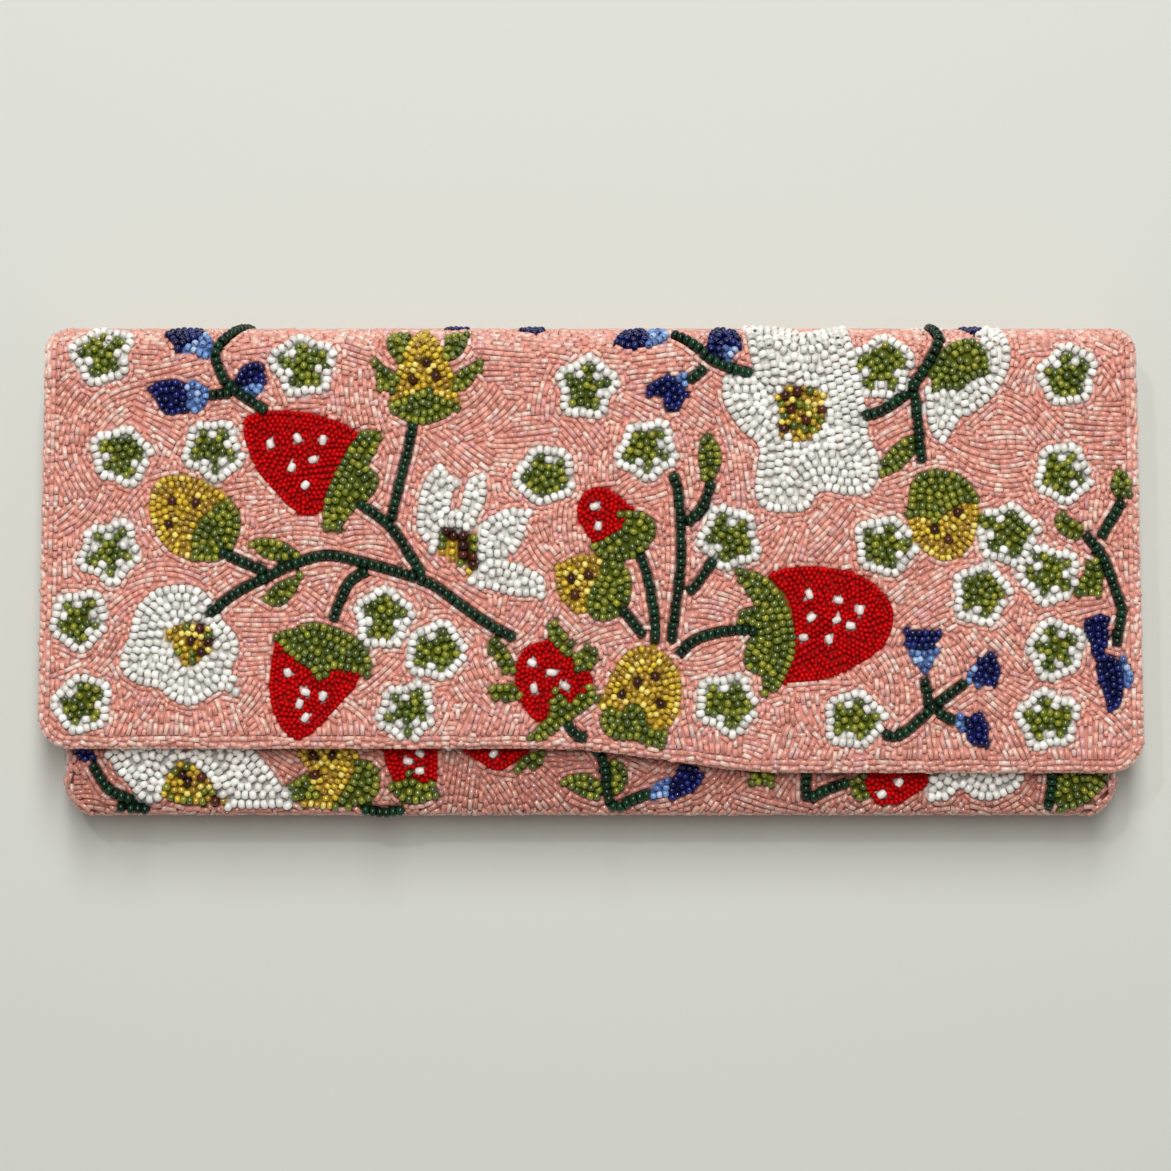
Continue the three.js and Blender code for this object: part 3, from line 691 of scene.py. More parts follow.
# the pattern on the front panel, the part below the flap first
frontPattern = {
    "stems": [
        [(-128.5, -49.5), (-126.5, -53), (-124.5, -56), (-121, -58), (-117.5, -59)],
        [(-122, -60.8), (-113.5, -61.6)],
        [(-59, -61.5), (-53.5, -62.3), (-47.5, -61.5)],
        [(-1, -43), (3, -48), (4, -53.5), (4.5, -58.5), (6.5, -61.5)],
        [(6.5, -61.5), (10.5, -59), (16, -57)],
        [(56, -46), (55.5, -55), (55.5, -60)],
        [(56, -59), (60.5, -56.5), (66, -54.5)],
        [(119.5, -48), (118.5, -57.5), (117.5, -62)],
    ],
    "minis": [],
    "berries": [
        {"flecks": [(-47, -49), (-44, -47), (-44, -51.5)],
         "leaves": [[(-51.5, -55), (-47.5, -53.5), (-46.5, -51.5), (-44.5, -54.5), (-40, -55), (-39.5, -57.5),
                     (-43, -60), (-47.5, -60), (-50.5, -58)]],
         "red": [(-53, -45), (-46, -42.5), (-40, -45), (-39.5, -51), (-40, -55), (-44.5, -55.5),
                 (-49.5, -54.5), (-52, -51.5)]},
        {"flecks": [(-25, -47)],
         "leaves": [[(-19, -51.5), (-17, -47.5), (-12.5, -46.5), (-14, -50)]],
         "red": [(-32, -45.5), (-24, -41), (-17, -45.5), (-20, -49.5), (-24, -51.5), (-28, -49.5)]},
        {"flecks": [(75, -57.5), (79.5, -54.5)], "leaves": [],
         "red": [(71.5, -52.5), (75, -49.5), (85.5, -51), (87, -54.5), (83.5, -57.5), (78.5, -60.5),
                 (73.5, -59), (71, -56)]},
    ],
    "fruit": [
        {"spots": [(-71.5, -47.5), (-66.5, -47.5), (-71, -52.5)],
         "leaves": [[(-77, -54.5), (-74, -53.5), (-70.5, -56), (-71.5, -58.5), (-76, -58.5)]],
         "green": [(-59.5, -48.5), (-54.5, -51), (-54.5, -56), (-56.5, -59.5), (-62.5, -61), (-66, -61),
                   (-64.5, -58), (-61.5, -53.5)],
         "gold": [(-75, -46.5), (-68, -42), (-61.5, -45), (-59.5, -48.5), (-62, -53.5), (-65, -58.5),
                  (-66, -61.4), (-72.5, -61), (-74.5, -58.5), (-72, -53.5)]},
    ],
    "blossoms": [
        {"heart": [(-110, -54), (-107, -50.5), (-103.5, -49.5), (-99.5, -52.5), (-96, -57.5), (-94.5, -60),
                   (-99.5, -60.5), (-106, -60), (-109.5, -58.5)],
         "petals": [[(-124, -46), (-115, -42), (-109, -43), (-104.5, -46), (-104, -49.5), (-107, -53),
                     (-110, -56), (-110, -59), (-113.5, -60.5), (-116.5, -58.5), (-119, -55), (-122.5, -51)],
                    [(-103, -46), (-97, -42.5), (-90.5, -43), (-85, -48), (-81, -53), (-78.5, -58),
                     (-79, -61), (-90.5, -61.4), (-94, -60.4), (-96, -57.5), (-99.5, -52), (-103, -49.5)]]},
    ],
    "singles": [],
    "fills": [
        ("navy", [(-135, -45.5), (-131, -43), (-128, -46.5), (-127.5, -49.5), (-130, -49.5)]),
        ("green", [(-7, -53.5), (-2, -52), (2.5, -54.5), (3, -59), (-1.5, -58.5), (-5, -56.5)]),
        ("green", [(6, -49.5), (9, -50), (9.5, -55.5), (6.5, -56.5)]),
        ("navy", [(24.5, -50), (28.5, -51), (28.5, -55), (23, -58.5), (20, -57.5), (21, -53.5)]),
        ("sky", [(21, -53.5), (20.5, -58), (16, -58), (17.5, -54)]),
        ("green", [(41.5, -50), (47, -50), (47, -54.5), (42, -55)]),
        ("green", [(67.5, -54), (71.5, -51), (76, -51.5), (74.5, -55.5), (70.5, -59.5), (67.5, -58.5)]),
        ("white", [(86, -52), (90, -48), (94, -51.5), (99, -48), (104, -51), (110, -48), (112, -53),
                   (109.5, -56.5), (104, -59), (98.5, -58.5), (95, -55.5), (92.5, -59), (88, -58.5)]),
        ("green", [(121, -52), (129.5, -50.5), (134, -52.5), (131.5, -56.5), (127, -60.5), (121.5, -62),
                   (119.5, -58)]),
    ],
}


def heartBeads(cloth, loop):
    # brown, gold and green beads mixed in rings
    for depth in (0.9, 2.6, 4.3, 6.0):
        for path in offsetRuns(loop, depth):
            run = evenly(path, 1.6)
            for a, b in zip(run[:-1], run[1:]):
                kind = dice.choice(["brown", "gold", "green"], p=[0.42, 0.26, 0.32])
                u, v = (a + b) / 2
                angle = math.atan2(b[1] - a[1], b[0] - a[0])
                if fits(cloth, u, v, angle, kind, beadKinds[kind]["along"]):
                    sew(cloth, u, v, angle, kind)
    packGaps(cloth, loop, "gold")


def sewPattern(cloth, lay, pattern, within):
    # lay turns a place in the drawing into a place on the cloth; within says if a motif stays on it
    def laid(points):
        points = lay(points)
        return points if within(points) else None

    def fillLaid(points, kind):
        points = laid(points)
        if points is not None:
            fillShape(cloth, points, kind)

    for stem in pattern["stems"]:
        if laid(stem) is not None:
            stemRow(cloth, laid(stem))
    for berry in pattern["berries"]:
        if laid(berry["red"]) is None:
            continue
        singleBeads(cloth, lay(berry["flecks"]), "fleck")
        for leaf in berry["leaves"]:
            fillLaid(leaf, "green")
        fillLaid(berry["red"], "red")
    for fruit in pattern["fruit"]:
        if laid(fruit["gold"]) is None:
            continue
        singleBeads(cloth, lay(fruit["spots"]), "brown")
        for leaf in fruit.get("leaves", []):
            fillLaid(leaf, "green")
        fillLaid(fruit["green"], "green")
        fillLaid(fruit["gold"], "gold")
    for blossom in pattern["blossoms"]:
        if laid(blossom["heart"]) is None:
            continue
        heartBeads(cloth, smoothPath(laid(blossom["heart"]), closed=True))
        for petal in blossom["petals"]:
            fillLaid(petal, "white")
    for kind, spots in pattern["singles"]:
        if laid(spots) is not None:
            singleBeads(cloth, laid(spots), kind)
    for kind, shape in pattern["fills"]:
        fillLaid(shape, kind)
    for spot in pattern["minis"]:
        spot = laid([spot])
        if spot is not None:
            miniFlower(cloth, spot[0][0], spot[0][1], dice.uniform(*mini["sizes"]))


# the ground's bugles: their lengths and gaps, and the size, spacing and bend of the patches of rows
bugle = {"lengths": (2.1, 3.1), "short": (1.5, 2.0), "leftover": (2.7, 2.0, 1.5, 1.15), "ringGap": 0.58,
         "rowPitch": 1.22, "patchReach": (6, 13), "patchRoom": 2.4, "patchGap": 6.5, "bend": 0.075,
         "foldSlack": 0.3, "tuckedRoom": 0.44, "tuckedFit": 0.76}


def flowAngle(u, v):
    # the direction that the rows drift in, which wanders over the cloth
    a = math.sin(u / 17 + 1.3) + math.cos(v / 13 - 0.4) + math.sin((u + v) / 23 + 2.1)
    b = math.cos(u / 21 - 0.7) - math.sin(v / 16 + 0.9) + math.cos((u - v) / 19)
    return math.atan2(a, b) + dice.normal(0, 0.5)


def growRows(cloth, starts, reach):
    # from each bugle, the next ones along its row and the rows beside it, within reach of where it began
    queue = list(starts)
    head = 0
    while head < len(queue):
        u, v, angle, length, bend, fromU, fromV = queue[head]
        head += 1
        for ahead, beside in ((0, 1), (0, -1), (1, 0), (-1, 0)):
            for attempt in range(2):
                newLength = dice.uniform(*bugle["lengths"] if attempt == 0 else bugle["short"])
                if ahead:
                    step = ((length + newLength) / 2 + 0.05) * ahead
                    turn = angle + bend * step
                    cu = u + math.cos((angle + turn) / 2) * step
                    cv = v + math.sin((angle + turn) / 2) * step
                else:
                    turn = angle + dice.normal(0, 0.045)
                    slide = dice.uniform(-0.8, 0.8)
                    cu = u - math.sin(angle) * bugle["rowPitch"] * beside + math.cos(angle) * slide
                    cv = v + math.cos(angle) * bugle["rowPitch"] * beside + math.sin(angle) * slide
                if math.hypot(cu - fromU, cv - fromV) > reach:
                    break
                if onGround(cloth, cu, cv) and fits(cloth, cu, cv, turn, "bugle", newLength):
                    sew(cloth, cu, cv, turn, "bugle", newLength)
                    queue.append((cu, cv, turn, newLength, bend, fromU, fromV))
                    break


def sewGround(cloth, uRange, vRange, straight=None):
    for loop in cloth.get("rings", []):     # a row round each motif
        for path in offsetRuns(loop, -bugle["ringGap"]):
            threadAlong(cloth, path, "bugle", lengths=(1.7, 2.7), fit=0.8)
    for path in cloth.get("stems", []):     # and one on either side of each stem
        ahead = np.gradient(path, axis=0)
        ahead /= np.linalg.norm(ahead, axis=1)[:, None]
        for side in (1, -1):
            beside = path + side * 2.0 * np.stack([-ahead[:, 1], ahead[:, 0]], 1)
            threadAlong(cloth, beside, "bugle", lengths=(2.1, 3.0), fit=0.8)
    spots = gridSpots(uRange, vRange, 1.5)
    spots = spots + dice.uniform(-0.6, 0.6, spots.shape)
    begun = np.zeros((0, 2))
    for u, v in spots[dice.permutation(len(spots))]:     # patches of bending rows in the open places
        if roomAt(cloth, u, v) < bugle["patchRoom"]:
            continue
        if len(begun) and np.hypot(*(begun - (u, v)).T).min() < bugle["patchGap"]:
            continue
        begun = np.vstack([begun, (u, v)])
        level = straight and straight[0] < v < straight[1]
        angle = dice.normal(0, bugle["foldSlack"]) if level else flowAngle(u, v)
        bend = 0.0 if level else dice.uniform(-bugle["bend"], bugle["bend"])
        first = beadKinds["bugle"]["along"]
        if fits(cloth, u, v, angle, "bugle", first):
            sew(cloth, u, v, angle, "bugle", first)
            growRows(cloth, [(u, v, angle, first, bend, u, v)], dice.uniform(*bugle["patchReach"]))
    starts = [(b[0], b[1], b[2], b[4], 0.0, b[0], b[1]) for b in cloth["beads"] if b[3] == "bugle"]
    growRows(cloth, starts, 9.0)
    spots = gridSpots(uRange, vRange, 0.5)
    for length in bugle["leftover"]:     # in what is left, along their neighbours if they can
        for u, v in spots[dice.permutation(len(spots))]:
            if roomAt(cloth, u, v) < bugle["tuckedRoom"] or not onGround(cloth, u, v):
                continue
            i = int(round((u - cloth["u0"]) / gridStep))
            j = int(round((v - cloth["v0"]) / gridStep))
            lean = float(cloth["lean"][i, j])
            for turn in (0, 0.35, -0.35, 0.8, -0.8, 1.25, -1.25, math.pi / 2):
                if fits(cloth, u, v, lean + turn, "bugle", length, bugle["tuckedFit"]):
                    sew(cloth, u, v, lean + turn, "bugle", length)
                    break


# how the beads roll over an edge, and how unevenly, in millimetres and degrees
rim = {"radius": 1.95, "centreIn": 2.6, "centreDown": -1.3, "turns": (42, 84), "lowest": -2.35,
       "lowestIn": 0.65, "comb": 3, "sway": 0.24, "stray": 0.3, "ragged": 0.42, "raggedLengths": (1.4, 2.6),
       "faceGap": 0.65}


def topRoom(inside, u, v):     # beads on the face stop short of the rolled edge
    return inside(u, v) - (rim["centreIn"] - rim["faceGap"])


def flapBorder(inset):
    # the flap's free border, from its left end at the fold round to the right
    corner, half = outline["flapCorner"], place["flapHalf"]
    leftLow, rightLow = place["edgeLeft"], place["edgeRight"]
    turn = np.linspace(0, math.pi / 2, 12)
    r = corner - inset
    high = place["crease"] - foldReach
    left = [(-caseHalf(np.array(v)) + inset, v) for v in np.linspace(high, leftLow + corner, 40)]
    bend = [(-half + corner - r * math.cos(t), leftLow + corner - r * math.sin(t)) for t in turn]
    low = [(x, flapEdge(x) + inset) for x in np.linspace(-half + corner, half - corner, 160)]
    bendRight = [(half - corner + r * math.sin(t), rightLow + corner - r * math.cos(t)) for t in turn]
    right = [(caseHalf(np.array(v)) - inset, v) for v in np.linspace(rightLow + corner, high, 40)]
    return np.array([(float(a), float(b)) for a, b in left + bend + low + bendRight + right])


def foldBorder(side, inset):     # one end of the fold and the back's side, down to the base
    v = np.linspace(place["crease"] - foldReach, caseEnd - outline["bodyCorner"], 220)
    return np.stack([side * (caseHalf(v) - inset), v], 1)


def backBorder(inset):     # the back's lower corners and edge
    corner, half = outline["bodyCorner"], place["bodyHalf"]
    r = corner - inset
    turn = np.linspace(0, math.pi / 2, 12)
    left = [(-half + corner - r * math.cos(t), caseEnd - corner + r * math.sin(t)) for t in turn]
    right = [(half - corner + r * math.sin(t), caseEnd - corner + r * math.cos(t)) for t in turn]
    return np.array(left + right)


def frontBorder(inset):     # one side of the front, its corner, then the other side
    corner, half = outline["bodyCorner"], place["bodyHalf"]
    low = place["base"] - beadDepth
    r = corner - inset
    turn = np.linspace(0, math.radians(80), 12)
    high = place["mouth"] - 0.5
    sides = []
    for side in (-1, 1):
        straight = [(side * (half - inset), v) for v in np.linspace(high, low + corner, 60)]
        bend = [(side * (half - corner + r * math.cos(t)), low + corner - r * math.sin(t)) for t in turn]
        sides.append(np.array(straight + bend))
    return sides


def stringRim(surface, border, outward, beads, lengths=(2.8, 3.6), turns=None, lowest=True,
              sway=rim["sway"], stray=rim["stray"]):
    # rows of bugles that roll over an edge; border(inset) gives the row's path on the cloth
    rows = []
    for degrees in (rim["turns"] if turns is None else turns):
        t = math.radians(degrees)
        rows.append((rim["centreIn"] - rim["radius"] * math.sin(t),
                     rim["centreDown"] + rim["radius"] * math.cos(t), t))
    if lowest:
        rows.append((rim["lowestIn"], rim["lowest"], math.pi / 2))
    for inset, height, turn in rows:
        path = border(inset)
        where, across, along, out = surface(path[:, 0], path[:, 1])
        where = where + out * height
        side = outward(path, across, along)
        facing = out * math.cos(turn) + side * math.sin(turn)
        run = np.concatenate([[0], np.cumsum(np.linalg.norm(np.diff(where, axis=0), axis=1))])
        at = dice.uniform(0, 0.3)
        while at < run[-1] - 1.2:
            length = min(dice.uniform(*lengths), run[-1] - at)
            ends = [[np.interp(s, run, where[:, k]) for k in range(3)] for s in (at, at + length)]
            a, b = np.array(ends[0]), np.array(ends[1])
            middle = at + length / 2
            normal = [np.interp(middle, run, facing[:, k]) for k in range(3)]
            v = float(np.interp(middle, run, path[:, 1]))
            ahead = (b - a) / np.linalg.norm(b - a)
            beside = np.cross(normal, ahead)
            leaning = ahead + beside * dice.normal(0, sway)
            beads.append(((a + b) / 2 + beside * dice.normal(0, stray), leaning / np.linalg.norm(leaning),
                          np.array(normal), "bugle", float(np.linalg.norm(b - a)), v))
            at += length + 0.05


def sideways(path, across, along):
    return across * np.sign(path[:, :1])


def awayFromMiddle(path, across, along):
    ahead = np.gradient(path, axis=0)
    ahead /= np.linalg.norm(ahead, axis=1)[:, None]
    side = np.stack([ahead[:, 1], -ahead[:, 0]], 1)
    side *= np.where((side * (path - np.array([0, path[:, 1].mean()]))).sum(1) > 0, 1, -1)[:, None]
    return across * side[:, :1] + along * side[:, 1:]


def edgeComb(cloth, xs, edge):
    # short rows that stand on an edge and lean this way and that
    for x in xs:
        lean = math.pi / 2 + 0.42 * math.sin(x / 15 + 0.8) + dice.normal(0, 0.05)
        v = edge(x) + (rim["centreIn"] + 0.7)
        u = x
        for _ in range(int(dice.integers(0, rim["comb"] + 1))):
            length = dice.uniform(2.5, 3.6)
            cu, cv = u + math.cos(lean) * length / 2, v + math.sin(lean) * length / 2
            if not fits(cloth, cu, cv, lean, "bugle", length):
                break
            sew(cloth, cu, cv, lean, "bugle", length)
            u += math.cos(lean) * (length + 0.05)
            v += math.sin(lean) * (length + 0.05)


caseCloth = newCloth(caseSurface, lambda u, v: topRoom(insideCase, u, v), (-143, 143), (-53, caseEnd + 1))
sewPattern(caseCloth, onCase, flapPattern, lambda p: True)
backStart = place["crease"] + foldLength


# the drawing's copies out of sight: size, how far down the front's lies, and how far from edges they stay
repeat = {"size": 0.94, "down": 7.0, "fromEdge": 3.2, "fromFold": 1.5, "frontLow": -39}


def onBack(points):     # the same drawing turned over, a little smaller
    points = np.array(points, float)
    size = repeat["size"]
    return np.stack([-size * points[:, 0], backStart + place["crease"] - size * points[:, 1]], 1)


def onFrontHidden(points):
    points = np.array(points, float)
    size = repeat["size"]
    return np.stack([-size * points[:, 0], size * points[:, 1] - repeat["down"]], 1)


def withinBack(p):
    inside = insideCase(p[:, 0], p[:, 1]) > repeat["fromEdge"]
    return bool(inside.all() and (p[:, 1] > backStart + repeat["fromFold"]).all())


def withinFront(p):
    inside = insideFront(p[:, 0], p[:, 1]) > repeat["fromEdge"]
    return bool(inside.all() and (p[:, 1] > repeat["frontLow"]).all())


sewPattern(caseCloth, onBack, flapPattern, withinBack)
snapAt = (nodeBox("snap_cap")[0] + nodeBox("snap_cap")[1]) / 2
snapRoom = (nodeBox("snap_cap")[1][0] - nodeBox("snap_cap")[0][0]) / 2 + 0.2


def frontRoom(u, v):     # the sides roll over, the base edge carries on, and the snap keeps its place
    side = roundedInside(place["bodyHalf"] - np.abs(u), v - place["base"] + beadDepth, outline["bodyCorner"])
    rolled = np.where(np.abs(u) > 126, side, 99) - (rim["centreIn"] - rim["faceGap"])
    room = np.minimum(insideFront(u, v), rolled)
    room = np.minimum(room, place["mouth"] - v - 0.9)
    return np.minimum(room, np.hypot(u - snapAt[0], v - snapAt[1]) - snapRoom)


frontCloth = newCloth(frontSurface, frontRoom, (-137, 137), (-68, 48))
sewPattern(frontCloth, onFront, frontPattern, lambda p: True)
sewPattern(frontCloth, onFrontHidden, flapPattern, withinFront)
baseCloth = newCloth(baseSurface, insideBase, (-143, 143), (0, 20))
wavy = flapBorder(2.7)
wavy[:, 1] += 0.22 * np.sin(wavy[:, 0] / 3.7) + 0.15 * np.sin(wavy[:, 0] / 1.9 + 1)
threadAlong(caseCloth, wavy, "bugle", lengths=(1.6, 3.0), fit=0.7)
for side in (-1, 1):
    threadAlong(caseCloth, foldBorder(side, 2.6), "bugle", lengths=(2.0, 3.2), fit=0.8)
edgeComb(caseCloth, np.arange(-134, 134, 1.4), lambda x: flapEdge(x) + 0.4)
sewGround(caseCloth, (-142, 142), (-52, caseEnd), straight=(52, 90))
sewGround(frontCloth, (-136, 136), (-65, 47))
sewGround(baseCloth, (-141, 141), (1.5, 16.5), straight=(0, 17))

rimBeads = {"case": [], "front": []}
stringRim(caseSurface, flapBorder, awayFromMiddle, rimBeads["case"], lengths=rim["raggedLengths"],
          sway=rim["ragged"], stray=rim["ragged"])
for side in (-1, 1):
    stringRim(caseSurface, lambda inset: foldBorder(side, inset), sideways, rimBeads["case"])
stringRim(caseSurface, backBorder, awayFromMiddle, rimBeads["case"], turns=(42,), lowest=False)


def stringFrontRim(beads):
    # the front's sides and mouth, whose rolled rows hide the board's edge
    def plainFront(u, v):
        count = len(u)
        return (np.stack([u, v, np.full(count, place["frontCloth"])], 1), np.tile([1.0, 0, 0], (count, 1)),
                np.tile([0, 1.0, 0], (count, 1)), np.tile([0, 0, 1.0], (count, 1)))
    for k in (0, 1):
        stringRim(plainFront, lambda inset: frontBorder(inset)[k], awayFromMiddle, beads)
    edge = nodeBox("mouth_edge_beading")[1][1]

    def mouthLine(inset):
        xs = np.linspace(-place["bodyHalf"] + 0.7, place["bodyHalf"] - 0.7, 120)
        return np.stack([xs, np.full(120, edge - inset)], 1)
    stringRim(plainFront, mouthLine, lambda p, a, b: b, beads)


stringFrontRim(rimBeads["front"])
print("beads sewn:", len(caseCloth["beads"]), len(frontCloth["beads"]), len(baseCloth["beads"]),
      len(rimBeads["case"]), len(rimBeads["front"]))


def newMaterial(name):
    material = bpy.data.materials.new(name)
    material.use_nodes = True
    nodes, links = material.node_tree.nodes, material.node_tree.links
    return material, nodes, links, nodes["Principled BSDF"]


def beadGlass(name, roughness, coat, shine=0.5, subsurface=0.0):
    # sewn glass, coloured bead by bead from its own tint
    material, nodes, links, shader = newMaterial(name)
    tint = nodes.new("ShaderNodeAttribute")
    tint.attribute_name = "tint"
    links.new(tint.outputs["Color"], shader.inputs["Base Color"])
    shader.inputs["Roughness"].default_value = roughness
    shader.inputs["IOR"].default_value = 1.52
    shader.inputs["Coat Weight"].default_value = coat
    shader.inputs["Coat Roughness"].default_value = 0.04
    shader.inputs["Specular IOR Level"].default_value = shine
    if subsurface:
        shader.inputs["Subsurface Weight"].default_value = subsurface
        shader.inputs["Subsurface Radius"].default_value = (0.6, 0.35, 0.3)
        shader.inputs["Subsurface Scale"].default_value = 0.001
    return material


beadMaterials = {
    "bugle": beadGlass("pinkBugleGlass", 0.15, 0.8, subsurface=0.35),
    "white": beadGlass("chalkWhiteGlass", 0.3, 0.5, subsurface=0.25),
    "green": beadGlass("greenLustreGlass", 0.18, 0.8, shine=0.45),
    "stem": beadGlass("darkGreenGlass", 0.26, 0.2, shine=0.25),
    "red": beadGlass("clearRedGlass", 0.42, 0.0, shine=0.08),
    "gold": beadGlass("goldGlass", 0.12, 0.9),
    "brown": beadGlass("brownGlass", 0.2, 0.25, shine=0.3),
    "navy": beadGlass("navyGlass", 0.2, 0.3, shine=0.35),
    "sky": beadGlass("lightBlueGlass", 0.18, 0.5),
    "fleck": beadGlass("creamGlass", 0.25, 0.6),
}


def wovenSatin(name, colour, shade, sheen, threads=2600.0):
    # satin: long floats one way, fine bumps, and cloudy changes of colour
    material, nodes, links, shader = newMaterial(name)
    spot = nodes.new("ShaderNodeTexCoord")
    floats = nodes.new("ShaderNodeTexWave")
    floats.wave_type = "BANDS"
    floats.bands_direction = "Y"
    floats.inputs["Scale"].default_value = threads / 10
    floats.inputs["Distortion"].default_value = 1.2
    floats.inputs["Detail"].default_value = 2.0
    cross = nodes.new("ShaderNodeTexWave")
    cross.wave_type = "BANDS"
    cross.bands_direction = "X"
    cross.inputs["Scale"].default_value = threads / 26
    cross.inputs["Distortion"].default_value = 0.6
    cloud = nodes.new("ShaderNodeTexNoise")
    cloud.inputs["Scale"].default_value = 38.0
    cloud.inputs["Detail"].default_value = 5.0
    weave = nodes.new("ShaderNodeMath")
    weave.operation = "MULTIPLY"
    blendIn = nodes.new("ShaderNodeMix")
    blendIn.data_type = "RGBA"
    blendIn.inputs["A"].default_value = (*shade, 1)
    blendIn.inputs["B"].default_value = (*colour, 1)
    span = nodes.new("ShaderNodeMapRange")
    span.inputs["To Min"].default_value = 0.35
    span.inputs["To Max"].default_value = 1.0
    bump = nodes.new("ShaderNodeBump")
    bump.inputs["Strength"].default_value = 0.35
    bump.inputs["Distance"].default_value = 0.0001
    for texture in (floats, cross, cloud):
        links.new(spot.outputs["Object"], texture.inputs["Vector"])
    links.new(floats.outputs["Fac"], weave.inputs[0])
    links.new(cross.outputs["Fac"], weave.inputs[1])
    links.new(cloud.outputs["Fac"], span.inputs["Value"])
    links.new(span.outputs["Result"], blendIn.inputs["Factor"])
    links.new(blendIn.outputs["Result"], shader.inputs["Base Color"])
    links.new(weave.outputs["Value"], bump.inputs["Height"])
    links.new(bump.outputs["Normal"], shader.inputs["Normal"])
    shader.inputs["Roughness"].default_value = 0.42
    shader.inputs["Sheen Weight"].default_value = sheen
    shader.inputs["Sheen Roughness"].default_value = 0.35
    shader.inputs["Anisotropic"].default_value = 0.4
    return material


def grainy(name, colour, shade, scale, roughness, bumpDepth, metallic=0.0, stretch=(1, 1, 1)):
    # a plain solid with grain or brush marks and worn, uneven gloss
    material, nodes, links, shader = newMaterial(name)
    spot = nodes.new("ShaderNodeTexCoord")
    pull = nodes.new("ShaderNodeMapping")
    pull.inputs["Scale"].default_value = stretch
    grain = nodes.new("ShaderNodeTexNoise")
    grain.inputs["Scale"].default_value = scale
    grain.inputs["Detail"].default_value = 7.0
    wear = nodes.new("ShaderNodeTexNoise")
    wear.inputs["Scale"].default_value = scale / 9
    wear.inputs["Detail"].default_value = 3.0
    blendIn = nodes.new("ShaderNodeMix")
    blendIn.data_type = "RGBA"
    blendIn.inputs["A"].default_value = (*shade, 1)
    blendIn.inputs["B"].default_value = (*colour, 1)
    gloss = nodes.new("ShaderNodeMapRange")
    gloss.inputs["To Min"].default_value = max(roughness - 0.12, 0.05)
    gloss.inputs["To Max"].default_value = min(roughness + 0.14, 1)
    bump = nodes.new("ShaderNodeBump")
    bump.inputs["Strength"].default_value = 0.4
    bump.inputs["Distance"].default_value = bumpDepth
    links.new(spot.outputs["Object"], pull.inputs["Vector"])
    for texture in (grain, wear):
        links.new(pull.outputs["Vector"], texture.inputs["Vector"])
    links.new(grain.outputs["Fac"], blendIn.inputs["Factor"])
    links.new(blendIn.outputs["Result"], shader.inputs["Base Color"])
    links.new(wear.outputs["Fac"], gloss.inputs["Value"])
    links.new(gloss.outputs["Result"], shader.inputs["Roughness"])
    links.new(grain.outputs["Fac"], bump.inputs["Height"])
    links.new(bump.outputs["Normal"], shader.inputs["Normal"])
    shader.inputs["Metallic"].default_value = metallic
    return material


def dyedClothWithPaintedShade():
    # the cloth under the beads, which takes the colour of the beads over it, deepened and darkened as painted
    # shade between the beads
    material, nodes, links, shader = newMaterial("dyedGroundCloth")
    dye = nodes.new("ShaderNodeAttribute")
    dye.attribute_name = "tint"
    spot = nodes.new("ShaderNodeTexCoord")
    weave = nodes.new("ShaderNodeTexWave")
    weave.inputs["Scale"].default_value = 260.0
    weave.inputs["Distortion"].default_value = 1.0
    span = nodes.new("ShaderNodeMapRange")
    span.inputs["To Min"].default_value = 0.86
    blendIn = nodes.new("ShaderNodeMix")
    blendIn.data_type = "RGBA"
    blendIn.blend_type = "MULTIPLY"
    blendIn.inputs["Factor"].default_value = 1.0
    links.new(spot.outputs["Object"], weave.inputs["Vector"])
    links.new(weave.outputs["Fac"], span.inputs["Value"])
    links.new(dye.outputs["Color"], blendIn.inputs["A"])
    links.new(span.outputs["Result"], blendIn.inputs["B"])
    links.new(blendIn.outputs["Result"], shader.inputs["Base Color"])
    shader.inputs["Roughness"].default_value = 0.7
    shader.inputs["Specular IOR Level"].default_value = 0.15
    return material


def dye(piece, cloth, u, v, shadeFactor=0.95, deepen=1.15):
    # tints a ground cloth's corners from the beads sewn over each spot; the colour is deepened and darkened as
    # painted shade between the beads
    # painted shade: the bead colours deepened and darkened for the cloth showing in the gaps
    colours = np.array([np.mean(beadColours[kind], 0) for kind in kindNames]) ** deepen * shadeFactor
    tints = colours[cloth["dye"][cellsAt(cloth, u, v)]]
    layer = piece.data.attributes.new("tint", "FLOAT_COLOR", "POINT")
    layer.data.foreach_set("color", np.hstack([tints, np.ones((len(tints), 1))]).astype(np.float32).ravel())


groundSatin = dyedClothWithPaintedShade()
liningSatin = wovenSatin("liningSatin", (0.80, 0.56, 0.48), (0.70, 0.45, 0.38), 0.5)
bindingSatin = wovenSatin("bindingSatin", (0.72, 0.40, 0.34), (0.62, 0.32, 0.27), 0.5, threads=1800.0)
sewingThread = grainy("sewingThread", (0.80, 0.50, 0.43), (0.66, 0.38, 0.32), 2600.0, 0.6, 0.0001)
feltedWadding = grainy("feltedWadding", (0.86, 0.83, 0.78), (0.72, 0.69, 0.64), 900.0, 0.95, 0.0004)
bagBoard = grainy("bagBoard", (0.42, 0.31, 0.20), (0.30, 0.22, 0.14), 1400.0, 0.9, 0.0001, stretch=(1, 4, 1))
snapGold = grainy("snapGold", (0.86, 0.62, 0.24), (0.70, 0.46, 0.15), 700.0, 0.2, 0.00003, metallic=1.0,
                  stretch=(1, 1, 6))
snapMagnet = grainy("snapMagnet", (0.12, 0.12, 0.13), (0.07, 0.07, 0.08), 900.0, 0.35, 0.00004, metallic=0.8)
cadMaterials = {"board": bagBoard, "washer": snapGold, "plate": snapGold, "cap": snapGold, "stud": snapGold,
                "magnet": snapMagnet}
for nodeName, node in frame["nodes"].items():     # the solids that stay get a finished material
    for word, material in cadMaterials.items():
        if word in nodeName:
            node.data.materials.clear()
            node.data.materials.append(material)
print("materials made")


